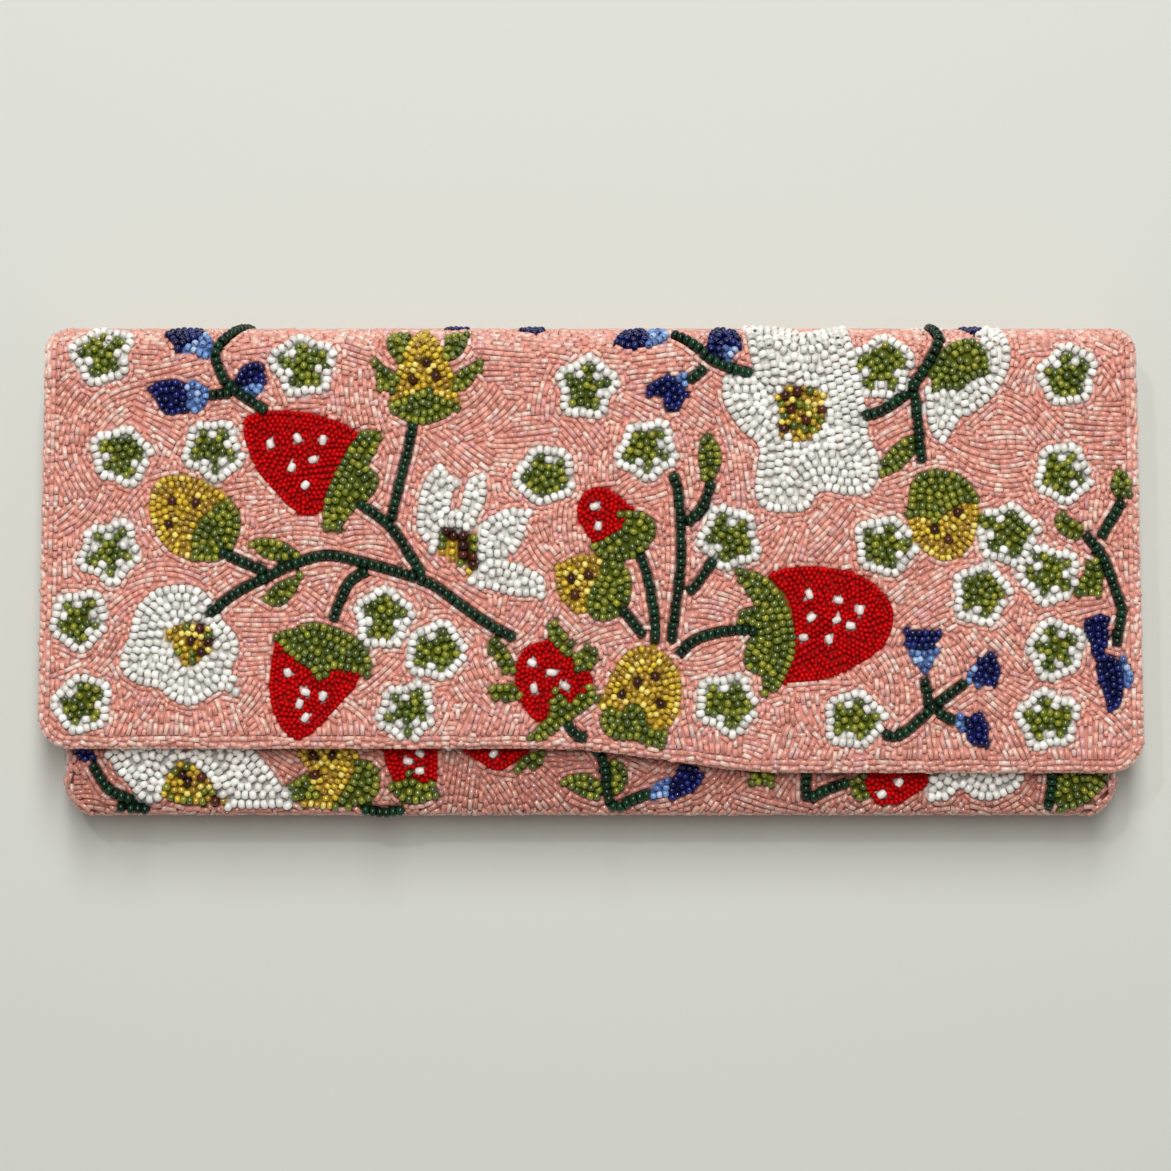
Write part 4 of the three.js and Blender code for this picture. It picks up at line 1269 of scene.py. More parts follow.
def beadForm(kind):
    # the bead's closed profile, as places along it and shares of its radius, for one turn round
    sides = beadKinds[kind]["sides"]
    if kind == "bugle":
        profile = [(-0.5, 1.0), (0.5, 1.0), (0.5, 0.5), (-0.5, 0.5)]
        smooth = [True, False, True, False]
    else:
        profile = [(-0.5, 0.48), (-0.41, 0.80), (-0.16, 0.99), (0.16, 0.99), (0.41, 0.80), (0.5, 0.48),
                   (0.0, 0.3)]
        smooth = [True] * 7
    rings = len(profile)
    quads, maps, gloss = [], [], []
    for i in range(rings):
        for k in range(sides):
            j, m = (i + 1) % rings, (k + 1) % sides
            quads.append([i * sides + k, i * sides + m, j * sides + m, j * sides + k])
            a, b, c, d = i / rings, (i + 1) / rings, k / sides, (k + 1) / sides
            maps.append([(a, c), (a, d), (b, d), (b, c)])
            gloss.append(smooth[i])
    return np.array(profile), sides, np.array(quads), np.array(maps), np.array(gloss)


beadForms = {kind: beadForm(kind) for kind in beadKinds}


def clothBeads(cloth, low=-1e9, high=1e9):
    # the beads of one stretch of a cloth, as place, thread direction, outward direction, kind, length
    chosen = [b for b in cloth["beads"] if low <= b[1] < high]
    if not chosen:
        return []
    u, v, angle = (np.array([b[k] for b in chosen], float) for k in range(3))
    where, across, along, out = cloth["surface"](u, v)
    thread = across * np.cos(angle)[:, None] + along * np.sin(angle)[:, None]
    result = []
    for k, bead in enumerate(chosen):
        radius = beadKinds[bead[3]]["across"] / 2
        result.append((where[k] + out[k] * radius * 0.95, thread[k], out[k], bead[3], bead[4], bead[1]))
    return result


def beadPiece(name, beads, body=None):
    # one mesh of sewn beads, each with its own tint, lean and place in the colour map
    kinds = sorted({b[3] for b in beads})
    cells = math.ceil(math.sqrt(len(beads)))
    points, faces, maps, tints, smooth, slots = [], [], [], [], [], []
    start, number = 0, 0
    for slotIndex, kind in enumerate(kinds):
        group = [b for b in beads if b[3] == kind]
        n = len(group)
        profile, sides, quads, mapCell, gloss = beadForms[kind]
        where = np.array([b[0] for b in group])
        thread = np.array([b[1] for b in group])
        out = np.array([b[2] for b in group])
        length = np.array([b[4] for b in group])
        radius = beadKinds[kind]["across"] / 2 * dice.normal(1.0, 0.03 if kind == "bugle" else 0.05, n)
        tumble = 0.05 if kind == "bugle" else 0.16
        thread = thread + out * dice.normal(0, tumble * 0.7, n)[:, None]
        thread = thread + np.cross(out, thread) * dice.normal(0, tumble, n)[:, None]
        thread /= np.linalg.norm(thread, axis=1)[:, None]
        out = out - thread * (out * thread).sum(1)[:, None]
        out /= np.linalg.norm(out, axis=1)[:, None]
        side = np.cross(thread, out)
        where = where + out * dice.normal(0, 0.07, n)[:, None]
        if kind != "bugle":
            length = length * dice.normal(0.97, 0.04, n)
        turn = 2 * math.pi * np.arange(sides) / sides
        corners = (where[:, None, None]
                   + thread[:, None, None] * (profile[:, 0] * length[:, None])[:, :, None, None]
                   + (profile[:, 1] * radius[:, None])[:, :, None, None]
                   * (out[:, None, None] * np.cos(turn)[None, None, :, None]
                      + side[:, None, None] * np.sin(turn)[None, None, :, None]))
        points.append(corners.reshape(-1, 3))
        size = len(profile) * sides
        faces.append((quads[None] + start + size * np.arange(n)[:, None, None]).reshape(-1, 4))
        start += size * n
        cell = number + np.arange(n)
        number += n
        corner = np.stack([cell % cells, cell // cells], 1)[:, None, None]
        maps.append(((corner + 0.12 + 0.76 * mapCell[None]) / cells).reshape(-1, 2))
        colours = np.array(beadColours[kind])
        picked = colours[dice.integers(0, len(colours), n)]
        colour = picked * np.clip(dice.normal(1, 0.1, n), 0.7, 1.3)[:, None]
        # the bead colours carry painted shade: lit tops, darker flanks and shaded holes
        shade = np.broadcast_to(paintedBeadShade(kind, colour, profile, turn), (n, len(profile), sides, 3))
        # painted shadow of the flap, darkening the front's bugles
        if kind == "bugle":
            shade = shade * np.array(frontPaintedShadow.get(body, (1, 1, 1)))
        tints.append(np.clip(shade, 0, 1).reshape(-1, 3))
        smooth.append(np.tile(gloss, n))
        slots.append(np.full(len(quads) * n, slotIndex))
    mesh = bpy.data.meshes.new(name)
    points, faces = np.concatenate(points) / 1000, np.concatenate(faces)
    mesh.vertices.add(len(points))
    mesh.vertices.foreach_set("co", points.astype(np.float32).ravel())
    mesh.loops.add(faces.size)
    mesh.loops.foreach_set("vertex_index", faces.astype(np.int32).ravel())
    mesh.polygons.add(len(faces))
    mesh.polygons.foreach_set("loop_start", np.arange(0, faces.size, 4, dtype=np.int32))
    mesh.polygons.foreach_set("use_smooth", np.concatenate(smooth))
    mesh.polygons.foreach_set("material_index", np.concatenate(slots).astype(np.int32))
    mesh.update(calc_edges=True)
    tint = mesh.attributes.new("tint", "FLOAT_COLOR", "POINT")
    tints = np.concatenate(tints)
    tint.data.foreach_set("color", np.hstack([tints, np.ones((len(tints), 1))]).astype(np.float32).ravel())
    cellMap = mesh.uv_layers.new(name="OFBake")
    cellMap.uv.foreach_set("vector", np.concatenate(maps).astype(np.float32).ravel())
    for kind in kinds:
        mesh.materials.append(beadMaterials[kind])
    piece = bpy.data.objects.new(name, mesh)
    bpy.context.scene.collection.objects.link(piece)
    if body:
        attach(piece, body)
    return piece


paintedShadeAndGlassOf = {     # painted shade: how light the flanks are against the lit top; how much clear glass shows there, painted paler as light coming through it; and that glass's colour
    "bugle": (0.96, 0.62, (0.95, 0.68, 0.58)),
    "white": (0.97, 0.0, (1, 1, 1)),
    "gold": (0.75, 0.3, (0.95, 0.76, 0.2)),
    "green": (0.85, 0.06, (0.6, 0.6, 0.2)),
    "red": (0.95, 0.0, (1, 1, 1)),
    "sky": (0.85, 0.25, (0.6, 0.75, 0.95)),
    "stem": (0.95, 0.0, (1, 1, 1)),
}
frontPaintedShadow = {"front": (0.72, 0.64, 0.62)}     # painted shadow: the front's pink glass made darker than the flap's, standing in for the flap's shade over it


def paintedBeadShade(kind, colour, profile, turn):
    # painted shade: the core's colour on the lit top, darker flanks and underside, and a darker hole; the clear
    # glass wall down the flanks is real, painted paler as light coming through it
    flankShade, clear, glass = paintedShadeAndGlassOf.get(kind, (0.85, 0.0, (1, 1, 1)))
    height = np.cos(turn)[None, None, :, None]
    # painted shade: flanks and underside darker than the top, where the light falls
    shade = colour[:, None, None] * (flankShade + (1 - flankShade) * np.clip(height, 0, 1))
    # the clear wall on the flanks, painted paler as light coming through the glass
    shade = shade + (np.array(glass) - shade) * clear * (1 - np.abs(height)) ** 0.8
    # painted shade inside the hole
    shadedHole = (profile[:, 1] < 0.45)[None, :, None, None]
    return np.where(shadedHole, shade * 0.75, shade)


def fromLeft(beads, limit=190000):
    # splits the bugles from left to right into pieces of at most this many triangles
    count = math.ceil(len(beads) * 2 * len(beadForms["bugle"][2]) / limit)
    words = {1: ("",), 2: ("Left", "Right"), 3: ("Left", "Middle", "Right")}[count]
    order = sorted(beads, key=lambda b: b[0][0])
    cuts = np.linspace(0, len(order), count + 1).astype(int)
    return {"Bugles" + word: order[a:b] for word, a, b in zip(words, cuts[:-1], cuts[1:])}


seedGroups = {"WhiteBeads": ("white",), "GreenBeads": ("green",), "StemBeads": ("stem",),
              "RedBeads": ("red", "fleck"), "GoldBeads": ("gold", "brown"), "BlueBeads": ("navy", "sky")}


def sewnPieces(name, beads, body, nodes):
    # a body's beads: the bugles in one to three parts, and each colour of round beads
    groups = fromLeft([b for b in beads if b[3] == "bugle"])
    for word, kinds in seedGroups.items():
        groups[word] = [b for b in beads if b[3] in kinds]
    for word, group in groups.items():
        piece = beadPiece(name + word, group, body)
        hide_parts(*nodes)
        print(piece.name, len(group), "beads,", 2 * len(piece.data.polygons), "triangles")


# the fold is cut into stretches at these places
upperArc = np.interp(math.pi / 2 - math.asin((creases["fold_upper_crease"][2] - place["flapCloth"]
                                              + place["foldHalfHeight"]) / place["foldHalfHeight"]),
                     foldTurns, foldRun)
stops = [place["crease"] - foldReach, place["crease"] + upperArc / 2, place["crease"] + foldLength / 2,
         place["crease"] + foldLength - upperArc / 2, backStart + foldReach]
foldZones = [("foldTop", "flap", "fold_upper", "fold_upper_beadwork"),
             ("foldHigh", "fold_upper", "fold_middle", "fold_middle_beadwork"),
             ("foldLow", "fold_middle", "fold_lower", "fold_middle_beadwork"),
             ("foldFoot", "fold_lower", "back", "fold_lower_beadwork")]


def spotOn(v):     # a place on the case cloth in metres
    return tuple(caseSurface(np.array([0.0]), np.array([v]))[0][0] / 1000)


def blendZone(piece, k):
    name, first, second, node = foldZones[k]
    spotOn(stops[k])
    spotOn(stops[k + 1])
    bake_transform(piece)


def rimOf(beads, low, high):
    return [b for b in beads if low <= b[5] < high]


flapBeads = clothBeads(caseCloth, -1e9, stops[0]) + rimOf(rimBeads["case"], -1e9, stops[0])
backBeads = clothBeads(caseCloth, stops[4], 1e9) + rimOf(rimBeads["case"], stops[4], 1e9)
frontBeads = clothBeads(frontCloth) + clothBeads(baseCloth) + rimBeads["front"]
sewnPieces("flap", flapBeads, "flap", ["flap_beadwork", "flap_edge_beading"])
sewnPieces("back", backBeads, "back", ["back_beadwork"])
sewnPieces("front", frontBeads, "front", ["front_beadwork", "base_beadwork", "mouth_edge_beading"])
for k, zone in enumerate(foldZones):
    beads = clothBeads(caseCloth, stops[k], stops[k + 1]) + rimOf(rimBeads["case"], stops[k], stops[k + 1])
    piece = beadPiece(zone[0] + "Beads", beads)
    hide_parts(zone[3])
    blendZone(piece, k)
print("bead pieces made")


def gridPiece(name, points, material, thickness):
    # a cloth from a grid of places in millimetres, with a real thickness
    rows, columns = points.shape[:2]
    mesh = bpy.data.meshes.new(name)
    faces = []
    for i in range(rows - 1):
        for j in range(columns - 1):
            a = i * columns + j
            faces.append((a, a + columns, a + columns + 1, a + 1))
    mesh.from_pydata((points.reshape(-1, 3) / 1000).tolist(), [], faces)
    mesh.polygons.foreach_set("use_smooth", np.full(len(faces), True))
    mesh.materials.append(material)
    piece = bpy.data.objects.new(name, mesh)
    bpy.context.scene.collection.objects.link(piece)
    thicken = piece.modifiers.new("thickness", "SOLIDIFY")
    thicken.thickness = thickness / 1000
    thicken.offset = 0.0
    thicken.use_even_offset = True
    applyModifiers(piece)
    return piece


def applyModifiers(piece):
    graph = bpy.context.evaluated_depsgraph_get()
    solid = bpy.data.meshes.new_from_object(piece.evaluated_get(graph))
    piece.modifiers.clear()
    old = piece.data
    piece.data = solid
    bpy.data.meshes.remove(old)


def ripple(x, y, size, depth, phase=0.0):
    # soft unevenness in a stretched cloth
    return depth * (np.sin(x / size + phase) * np.cos(y / (0.8 * size) - phase)
                    + 0.5 * np.sin((x + 1.7 * y) / (0.6 * size) + 2 * phase)) / 1.5


def panelGrid(low, high, half, cornerLow, cornerHigh, inset, rows=60, columns=150):
    # places over a panel with rounded corners, in plan
    s = np.sin(np.linspace(-math.pi / 2, math.pi / 2, columns)) * 0.35 + np.linspace(-1, 1, columns) * 0.65
    t = (1 - np.cos(np.linspace(0, math.pi, rows))) / 2 * 0.6 + np.linspace(0, 1, rows) * 0.4
    s, t = np.meshgrid(s, t)
    lowAt = low(s * half(0 * s)) + inset
    y = lowAt + t * (high - inset - lowAt)
    width = half(y) - inset

    def pinch(distance, radius):
        radius = max(radius - inset, 0.01)
        gap = np.clip(radius - distance, 0, radius)
        return radius - np.sqrt(radius * radius - gap * gap)
    width = width - pinch(y - lowAt, cornerLow) - pinch(high - inset - y, cornerHigh)
    return s * width, y


def ringDown(points, steps):
    # carries a grid's border on outwards and down: each step is how far out and the height
    rows, columns = points.shape[:2]
    order = ([(0, j) for j in range(columns)] + [(i, columns - 1) for i in range(1, rows)]
             + [(rows - 1, j) for j in range(columns - 2, -1, -1)] + [(i, 0) for i in range(rows - 2, 0, -1)])
    border = np.array([points[i, j] for i, j in order])
    ahead = np.roll(border, -1, 0) - np.roll(border, 1, 0)
    out = np.stack([ahead[:, 1], -ahead[:, 0]], 1)
    out /= np.maximum(np.linalg.norm(out, axis=1), 1e-9)[:, None]
    rings = []
    for away, height in steps:
        ring = border.copy()
        ring[:, :2] += out * away
        ring[:, 2] = height
        rings.append(ring)
    return order, rings


def wrappedPiece(name, points, steps, material, thickness, offset):
    # a grid whose border is carried on round an edge
    rows, columns = points.shape[:2]
    order, rings = ringDown(points, steps)
    places = [points.reshape(-1, 3)] + rings
    faces = []
    for i in range(rows - 1):
        for j in range(columns - 1):
            a = i * columns + j
            faces.append((a, a + 1, a + columns + 1, a + columns))
    count = len(order)
    last = [i * columns + j for i, j in order]
    for k in range(len(rings)):
        now = [rows * columns + k * count + n for n in range(count)]
        for n in range(count):
            m = (n + 1) % count
            faces.append((last[n], now[n], now[m], last[m]))
        last = now
    mesh = bpy.data.meshes.new(name)
    mesh.from_pydata((np.concatenate(places) / 1000).tolist(), [], faces)
    mesh.polygons.foreach_set("use_smooth", np.full(len(faces), True))
    mesh.materials.append(material)
    piece = bpy.data.objects.new(name, mesh)
    bpy.context.scene.collection.objects.link(piece)
    thicken = piece.modifiers.new("thickness", "SOLIDIFY")
    thicken.thickness = thickness / 1000
    thicken.offset = offset
    applyModifiers(piece)
    return piece


def caseHalfPlan(y):
    return caseHalf(np.minimum(y, place["crease"]))


def bodyHalfPlan(y):
    return np.full(np.shape(y), place["bodyHalf"])


def lowFlat(level):     # a straight lower edge
    return lambda x: 0 * x + level


def flatAt(x, y, z):     # a flat grid of places at one height
    return np.stack([x, y, np.full(x.shape, z)], 2)


flapTop = stops[0]
x, y = panelGrid(flapEdge, flapTop + 1.3, caseHalfPlan, outline["flapCorner"], 0.0, 1.3, 120, 380)
flapSkin = wrappedPiece("flapGroundCloth", flatAt(x, y, place["flapCloth"] + 0.04),
                        [(0.35, 24.8), (0.5, 24.3), (0.5, 22.3)], groundSatin, 0.08, 1.0)
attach(flapSkin, "flap")


def plan(piece):     # a piece's corners from above, in millimetres
    spots = np.zeros(len(piece.data.vertices) * 3, np.float32)
    piece.data.vertices.foreach_get("co", spots)
    return spots.reshape(-1, 3) * 1000


spots = plan(flapSkin)
dye(flapSkin, caseCloth, spots[:, 0], spots[:, 1])
bodyLow = place["base"] - beadDepth + 1.75
x, y = panelGrid(lowFlat(bodyLow - 1.3), flapTop + 1.3, bodyHalfPlan, outline["bodyCorner"], 0.0, 1.3,
                 126, 340)
backSkin = wrappedPiece("backGroundCloth", flatAt(x, y, place["backCloth"] - 0.04)[::-1],
                        [(0.35, 1.9), (0.5, 2.4), (0.5, 4.4)], groundSatin, 0.08, 1.0)
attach(backSkin, "back")
spots = plan(backSkin)
dye(backSkin, caseCloth, spots[:, 0], backStart + place["crease"] - spots[:, 1])


def declareSheet(piece, width, length):
    # prints the cut size in millimetres
    length = max(length, 10.0)
    print("sheet", piece.name, "%.1f x %.1f mm" % (width, length))


frontEdge = nodeBox("mouth_edge_beading")[1][1]
roll = outline["baseRoll"]
x, y = panelGrid(lowFlat(place["base"] - beadDepth), frontEdge, bodyHalfPlan, outline["bodyCorner"], 0.0,
                 roll + beadDepth, 120, 360)
turns = np.radians([18, 36, 54, 72, 90])
steps = [(roll * math.sin(t), place["frontCloth"] + 0.04 - roll * (1 - math.cos(t))) for t in turns]
frontSkin = wrappedPiece("frontGroundCloth", flatAt(x, y, place["frontCloth"] + 0.04),
                         steps, groundSatin, 0.08, 1.0)
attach(frontSkin, "front")
spots = plan(frontSkin)
flatPart = onFront(spots[:, :2])
# painted shadow of the flap: the front's ground cloth darkened further
dye(frontSkin, frontCloth, flatPart[:, 0], flatPart[:, 1], shadeFactor=0.65)
v = np.linspace(place["backCloth"] + 0.25, baseTop + 0.1, 8)
u = np.linspace(-1, 1, 160) * (baseHalf - 0.4)
gridV, gridU = np.meshgrid(v, u, indexing="ij")
where, _, _, out = baseSurface(gridU.ravel(), gridV.ravel())
baseSkin = gridPiece("baseGroundCloth", (where + out * 0.04).reshape(8, 160, 3), groundSatin, 0.08)
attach(baseSkin, "front")
spots = plan(baseSkin)
dye(baseSkin, baseCloth, 0 * spots[:, 0], 0 * spots[:, 0])
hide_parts("flap_beadwork", "flap_edge_beading")
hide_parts("back_beadwork")
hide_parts("front_beadwork", "mouth_edge_beading")
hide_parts("base_beadwork")
turnedIn = 3.3     # how much of a ground cloth's edge goes down round the board, in millimetres
declareSheet(flapSkin, 2 * (place["flapHalf"] + turnedIn), flapTop - place["edgeRight"] + 2 * turnedIn)
declareSheet(backSkin, 2 * (place["bodyHalf"] + turnedIn), flapTop - bodyLow + 2 * turnedIn)
declareSheet(frontSkin, 2 * (place["bodyHalf"] + turnedIn), frontEdge - place["base"] + 2 * turnedIn)
declareSheet(baseSkin, 2 * u[-1], v[-1] - v[0])

lining = {"thick": 0.4, "inset": 1.7, "sway": 0.06, "seamIn": 3.0, "flapFace": 22.25, "backFace": 4.35,
          "frontFace": 15.75, "corner": 7.5}


def sewnLining(name, low, high, half, cornerLow, height, facing, inset=lining["inset"]):
    # a stretched satin lining, drawn in a little along its seam
    x, y = panelGrid(low, high + inset, half, cornerLow, 0.0, inset, 70, 170)
    edge = np.minimum(half(y) - inset - np.abs(x), y - low(x) - inset)
    swell = 0.10 * np.exp(-((edge - 4.5) / 2.0) ** 2)
    dip = 0.12 * np.exp(-((edge - lining["seamIn"]) / 0.7) ** 2)
    z = height + facing * (ripple(x, y, 11, lining["sway"], height) + swell - dip)
    return gridPiece(name, np.stack([x, y, z], 2), liningSatin, lining["thick"])


flapLining = sewnLining("flapLining", flapEdge, flapTop, caseHalfPlan, outline["flapCorner"],
                        lining["flapFace"], -1, 2.3)
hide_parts("flap_lining")
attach(flapLining, "flap")
declareSheet(flapLining, 2 * (place["flapHalf"] - 2.3), flapTop - place["edgeRight"] - 2.3)
backLining = sewnLining("backLining", lowFlat(place["base"] + 0.3), flapTop, bodyHalfPlan,
                        lining["corner"], lining["backFace"], 1, 2.9)
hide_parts("back_lining")
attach(backLining, "back")
declareSheet(backLining, 2 * (place["bodyHalf"] - 2.9), flapTop - place["base"] - 3.3)
frontLining = sewnLining("frontLining", lowFlat(place["base"] - 1.3), frontEdge - 1.6, bodyHalfPlan,
                         lining["corner"], lining["frontFace"], -1, 2.7)
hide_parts("front_lining")
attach(frontLining, "front")
declareSheet(frontLining, 2 * (place["bodyHalf"] - 2.7), frontEdge - place["base"] - 3.0)
low, high = nodeBox("base_lining")
u, v = np.meshgrid(np.linspace(low[0], high[0], 150), np.linspace(low[2], high[2], 12))
baseLining = gridPiece("baseLining", np.stack([u, (low[1] + high[1]) / 2 + ripple(u, v, 9, 0.05), v], 2),
                       liningSatin, lining["thick"])
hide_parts("base_lining")
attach(baseLining, "front")
declareSheet(baseLining, high[0] - low[0], high[2] - low[2])
foldLinings = ("fold_upper_lining", "fold_middle_lining", "fold_middle_lining", "fold_lower_lining")
for k, zone in enumerate(foldZones):     # it runs from the boards' inner face up close to the fold and back
    v = np.linspace(stops[k], stops[k + 1], 16)
    gridV, gridU = np.meshgrid(v, np.linspace(-1, 1, 120), indexing="ij")
    flatV = gridV.ravel()
    where, _, _, out = caseSurface((gridU * (caseHalf(gridV) - 1.8)).ravel(), flatV)
    deep = place["flapCloth"] - lining["flapFace"] - (place["flapCloth"] - lining["flapFace"] - 0.45) * (
        smoothStep(flatV, stops[0], stops[1]) - smoothStep(flatV, stops[3], stops[4]))
    deep = deep + ripple(where[:, 0], flatV, 8, 0.05)
    stretch = (where - out * deep[:, None]).reshape(16, 120, 3)
    inner = gridPiece(zone[0] + "Lining", stretch[:, ::-1], liningSatin, lining["thick"])
    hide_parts(foldLinings[k])
    blendZone(inner, k)
    legs = np.linalg.norm(np.diff(stretch[:, 60], axis=0), axis=1).sum()
    width = np.ptp(stretch[0, :, 0]) if k < 2 else np.ptp(stretch[-1, :, 0]) + 4
    declareSheet(inner, width, legs + 0.2)

gusset = {"rows": 60, "across": 21, "foldIn": 9.0, "half": 132.8, "thick": 0.45, "cut": 21.0}
for side, node in ((-1, "gusset_left"), (1, "gusset_right")):
    low, high = nodeBox(node)
    t, s = np.meshgrid(np.linspace(0, 1, gusset["rows"]), np.linspace(-1, 1, gusset["across"]), indexing="ij")
    y = low[1] + t * (high[1] - low[1])
    z = (low[2] + high[2]) / 2 + s * (high[2] - low[2]) / 2
    deepest = 0.72 + 0.28 * np.sin(math.pi * np.clip(0.15 + 0.8 * t, 0, 1))
    fold = gusset["foldIn"] * (1 - np.abs(s) ** 1.5) * deepest
    x = side * (gusset["half"] - fold - ripple(y, 3 * z, 5, 0.12) * (1 - s * s))
    name = "gussetLeft" if side < 0 else "gussetRight"
    piece = gridPiece(name, np.stack([x, y, z], 2)[::side], liningSatin, gusset["thick"])
    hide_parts(node)
    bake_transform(piece)
    declareSheet(piece, high[1] - low[1], gusset["cut"])

low, high = nodeBox("slip_pocket")
s, t = np.meshgrid(np.linspace(-1, 1, 90), np.linspace(0, 1, 50))
x, y = s * high[0] * (1 - 0.002 * t), low[1] + t * (high[1] - low[1])
bulge = np.clip(1 - s ** 8, 0, 1) * np.clip(t * 3, 0, 1)
z = low[2] + 0.25 + 0.55 * bulge * t + ripple(x, y, 13, 0.08) * bulge
slipPocket = gridPiece("slipPocket", np.stack([x, y, z], 2), liningSatin, 0.4)
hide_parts("slip_pocket")
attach(slipPocket, "back")
declareSheet(slipPocket, 2 * high[0], high[1] - low[1])
low, high = nodeBox("slip_pocket_binding")
s, t = np.meshgrid(np.linspace(-1, 1, 90), np.linspace(0, 1, 10))
x, y = s * high[0], low[1] + t * (high[1] - low[1])
z = low[2] + 0.16 + 0.18 * np.sin(math.pi * t) + ripple(x, y, 4, 0.03)
binding = gridPiece("slipPocketBinding", np.stack([x, y, z], 2), bindingSatin, 0.3)
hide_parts("slip_pocket_binding")
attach(binding, "back")
declareSheet(binding, 2 * high[0], high[1] - low[1])

# the wadding under the beadwork
wadding = {"thick": 1.1, "inset": 3.3, "sway": 0.05}
for name, node, body, low, high, half, corner in (
        ("flapWadding", "flap_padding", "flap", flapEdge, 50.6, caseHalfPlan, outline["flapCorner"]),
        ("frontWadding", "front_padding", "front", lowFlat(place["base"] + 0.5), 42.6, bodyHalfPlan, 8.0),
        ("backWadding", "back_padding", "back", lowFlat(place["base"] + 1.0), 50.4, bodyHalfPlan, 8.0)):
    zLow, zHigh = nodeBox(node)[0][2], nodeBox(node)[1][2]
    x, y = panelGrid(low, high + wadding["inset"], half, corner, 0.0, wadding["inset"], 40, 110)
    z = (zLow + zHigh) / 2 + ripple(x, y, 6, wadding["sway"], zLow)
    piece = gridPiece(name, np.stack([x, y, z], 2), feltedWadding, wadding["thick"])
    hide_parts(node)
    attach(piece, body)


stitch = {"pitch": 2.9, "length": 2.2, "radius": 0.16, "sides": 6}


def stitchRow(name, paths, body, height, facing):
    # sewn thread that dips into the cloth at each end of a stitch; paths are in plan
    sides = stitch["sides"]
    points, faces = [], []
    along = np.linspace(-0.5, 0.5, 6)
    turn = 2 * math.pi * np.arange(sides) / sides
    for path in paths:
        run = evenly(np.array(path, float), stitch["pitch"])
        for a, b in zip(run[:-1], run[1:]):
            ahead = (b - a) / np.linalg.norm(b - a)
            centre = (a + b) / 2
            start = len(points)
            for s in along:
                arch = 0.14 * math.cos(math.pi * s) - 0.05
                thin = stitch["radius"] * (1 - 0.5 * (2 * abs(s)) ** 4)
                for t in turn:
                    across = thin * math.cos(t)
                    points.append((centre[0] + ahead[0] * s * stitch["length"] - ahead[1] * across,
                                   centre[1] + ahead[1] * s * stitch["length"] + ahead[0] * across,
                                   height + facing * (arch + thin * math.sin(t))))
            for i in range(5):
                for k in range(sides):
                    m = (k + 1) % sides
                    quad = (start + i * sides + k, start + i * sides + m, start + (i + 1) * sides + m,
                            start + (i + 1) * sides + k)
                    faces.append(quad if facing > 0 else quad[::-1])
            faces.append(tuple(start + k for k in range(sides))[::-facing])
            faces.append(tuple(start + 5 * sides + k for k in range(sides))[::facing])
    mesh = bpy.data.meshes.new(name)
    mesh.from_pydata((np.array(points) / 1000).tolist(), [], faces)
    mesh.polygons.foreach_set("use_smooth", np.full(len(faces), True))
    mesh.materials.append(sewingThread)
    piece = bpy.data.objects.new(name, mesh)
    bpy.context.scene.collection.objects.link(piece)
    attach(piece, body)


seam = lining["inset"] + lining["seamIn"]
stitchRow("flapLiningStitches", [flapBorder(seam)], "flap", 22.03, -1)
seamHalf = 129.5
backSeam = [(-seamHalf, 47), (-seamHalf, -56), (seamHalf, -56), (seamHalf, 47)]
stitchRow("backLiningStitches", [backSeam], "back", 4.57, 1)
stitchRow("frontLiningStitches", [[(seamHalf, 43.2), (-seamHalf, 43.2)]], "front", 15.53, -1)
low, high = nodeBox("slip_pocket")
pocketSeam = [(low[0] + 1.5, high[1] - 6), (low[0] + 1.5, low[1] + 1.5), (high[0] - 1.5, low[1] + 1.5),
              (high[0] - 1.5, high[1] - 6)]
stitchRow("pocketStitches", [pocketSeam], "back", 5.27, 1)
stitchRow("bindingStitches", [[(low[0] + 2, 18.9), (high[0] - 2, 18.9)]], "back", 6.33, 1)
print("linings, pocket, wadding and stitches made")
for k, zone in enumerate(foldZones):     # the ground cloth over the fold, in the same stretches
    v = np.linspace(stops[k], stops[k + 1], 16)
    gridV, gridU = np.meshgrid(v, np.linspace(-1, 1, 400), indexing="ij")
    flatU, flatV = (gridU * (caseHalf(gridV) - 1.1)).ravel(), gridV.ravel()
    where, _, _, out = caseSurface(flatU, flatV)
    skin = gridPiece(zone[0] + "GroundCloth", (where + out * 0.04).reshape(16, 400, 3), groundSatin, 0.08)
    spots = plan(skin)     # solidifying gives the same corners twice over, front then back
    dye(skin, caseCloth, np.resize(flatU, len(spots)), np.resize(flatV, len(spots)))
    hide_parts(zone[3])
    blendZone(skin, k)
    declareSheet(skin, np.ptp(flatU), np.ptp(flatV))


studio = {"floor": 8.0, "floorColour": (0.69, 0.71, 0.662), "lens": 105.0, "distance": 0.875,
          "lookAt": (-0.0013, -0.0037), "roomColour": (1.0, 0.965, 0.90), "glow": 0.9, "overhead": 0.2,
          "glowHeight": 0.45}
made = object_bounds()


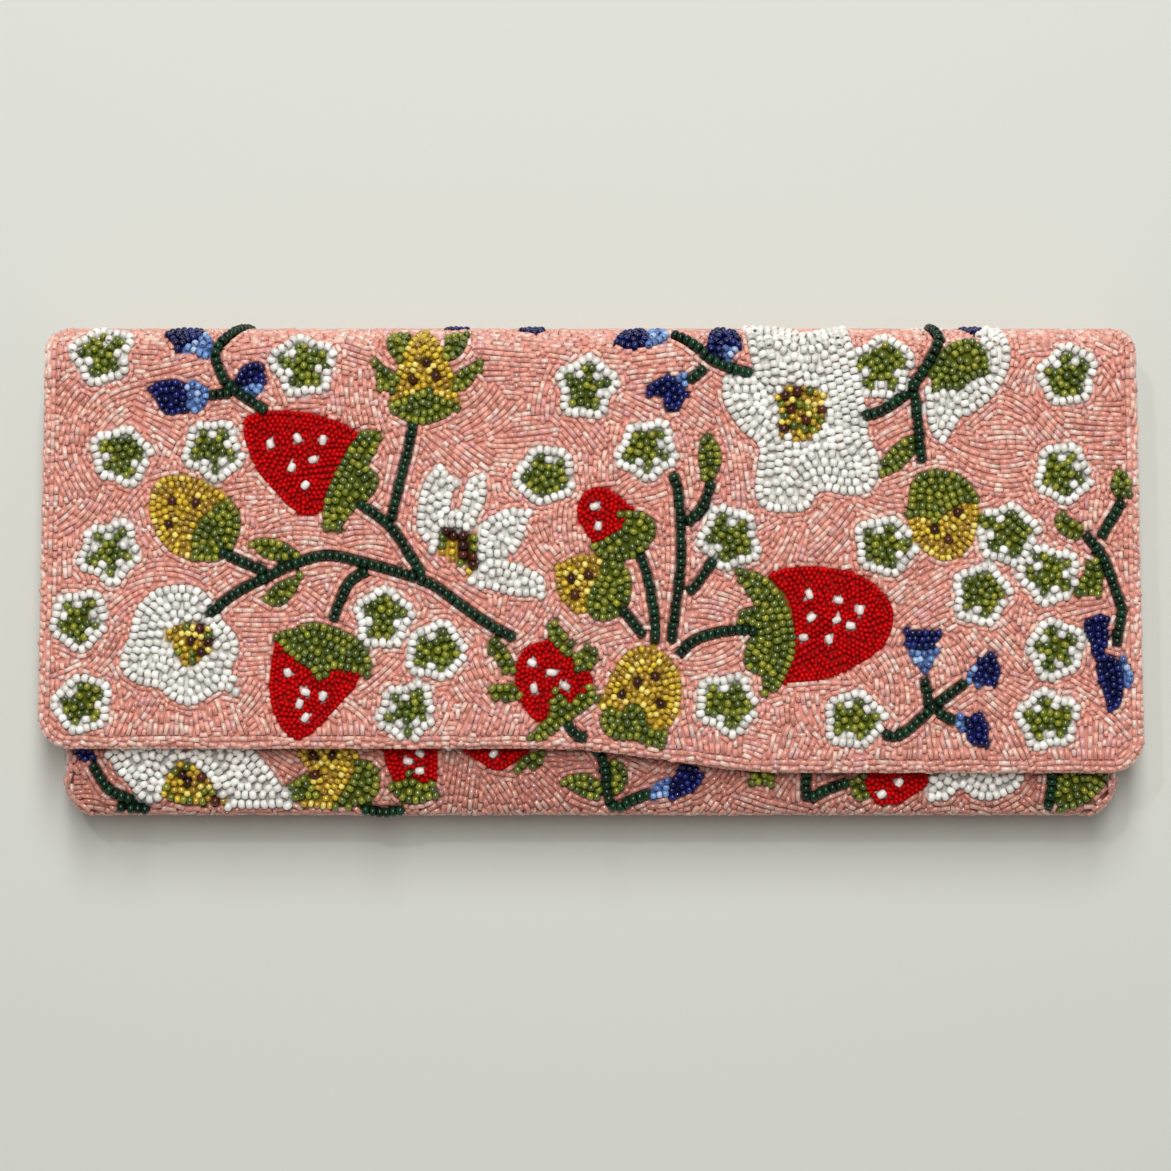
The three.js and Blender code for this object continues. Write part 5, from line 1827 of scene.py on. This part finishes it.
def makeFloor():
    material, nodes, links, shader = newMaterial("paleTable")
    spot = nodes.new("ShaderNodeTexCoord")
    cloud = nodes.new("ShaderNodeTexNoise")
    cloud.inputs["Scale"].default_value = 2.0
    mixIn = nodes.new("ShaderNodeMix")
    mixIn.data_type = "RGBA"
    colour = np.array(studio["floorColour"])
    mixIn.inputs["A"].default_value = (*(colour * 0.97), 1)
    mixIn.inputs["B"].default_value = (*colour, 1)
    links.new(spot.outputs["Object"], cloud.inputs["Vector"])
    links.new(cloud.outputs["Fac"], mixIn.inputs["Factor"])
    links.new(mixIn.outputs["Result"], shader.inputs["Base Color"])
    shader.inputs["Roughness"].default_value = 0.85
    mesh = bpy.data.meshes.new("paleTable")
    half = studio["floor"] / 2
    corners = [(-half, -half, 0), (half, -half, 0), (half, half, 0), (-half, half, 0)]
    mesh.from_pydata(corners, [], [(0, 1, 2, 3)])
    mesh.materials.append(material)
    table = bpy.data.objects.new("paleTable", mesh)
    bpy.context.scene.collection.objects.link(table)
    table.location.z = made[0][2] - 0.0001


def areaLight(name, where, towards, size, power, colour=(1, 1, 1)):
    light = bpy.data.lights.new(name, "AREA")
    light.shape = "RECTANGLE"
    light.size, light.size_y = size
    light.energy = power
    light.color = colour
    holder = bpy.data.objects.new(name, light)
    holder.location = where
    holder.rotation_euler = (Vector(towards) - Vector(where)).to_track_quat("-Z", "Y").to_euler()
    bpy.context.scene.collection.objects.link(holder)


makeFloor()
areaLight("windowLight", (0.02, 0.6, 1.2), (0, 0, 0), (0.24, 1.2), 15.6, (1.0, 1.0, 0.985))
areaLight("glintLight", (-0.3, 0.5, 1.25), (0, 0, 0), (0.05, 0.05), 1.6)


def makeWorld():
    # a pale room: brighter low down all round than overhead
    world = bpy.data.worlds.new("studioWorld")
    bpy.context.scene.world = world
    world.use_nodes = True
    nodes, links = world.node_tree.nodes, world.node_tree.links
    spot = nodes.new("ShaderNodeTexCoord")
    split = nodes.new("ShaderNodeSeparateXYZ")
    rise = nodes.new("ShaderNodeMath")
    rise.operation = "ABSOLUTE"
    glow = nodes.new("ShaderNodeMapRange")
    glow.interpolation_type = "SMOOTHSTEP"
    glow.inputs["From Max"].default_value = studio["glowHeight"]
    glow.inputs["To Min"].default_value = studio["glow"]
    glow.inputs["To Max"].default_value = studio["overhead"]
    links.new(spot.outputs["Generated"], split.inputs["Vector"])
    links.new(split.outputs["Z"], rise.inputs[0])
    links.new(rise.outputs["Value"], glow.inputs["Value"])
    links.new(glow.outputs["Result"], nodes["Background"].inputs["Strength"])
    nodes["Background"].inputs["Color"].default_value = (*studio["roomColour"], 1)


makeWorld()
bpy.context.scene.view_settings.view_transform = "Standard"
cameraData = bpy.data.cameras.new("camera")
cameraData.lens = studio["lens"]
cameraData.sensor_width = 36.0
cameraData.clip_start, cameraData.clip_end = 0.01, 20.0
camera = bpy.data.objects.new("camera", cameraData)
camera.location = (*studio["lookAt"], studio["distance"] + 0.025)
bpy.context.scene.collection.objects.link(camera)
bpy.context.scene.camera = camera
print("studio ready")
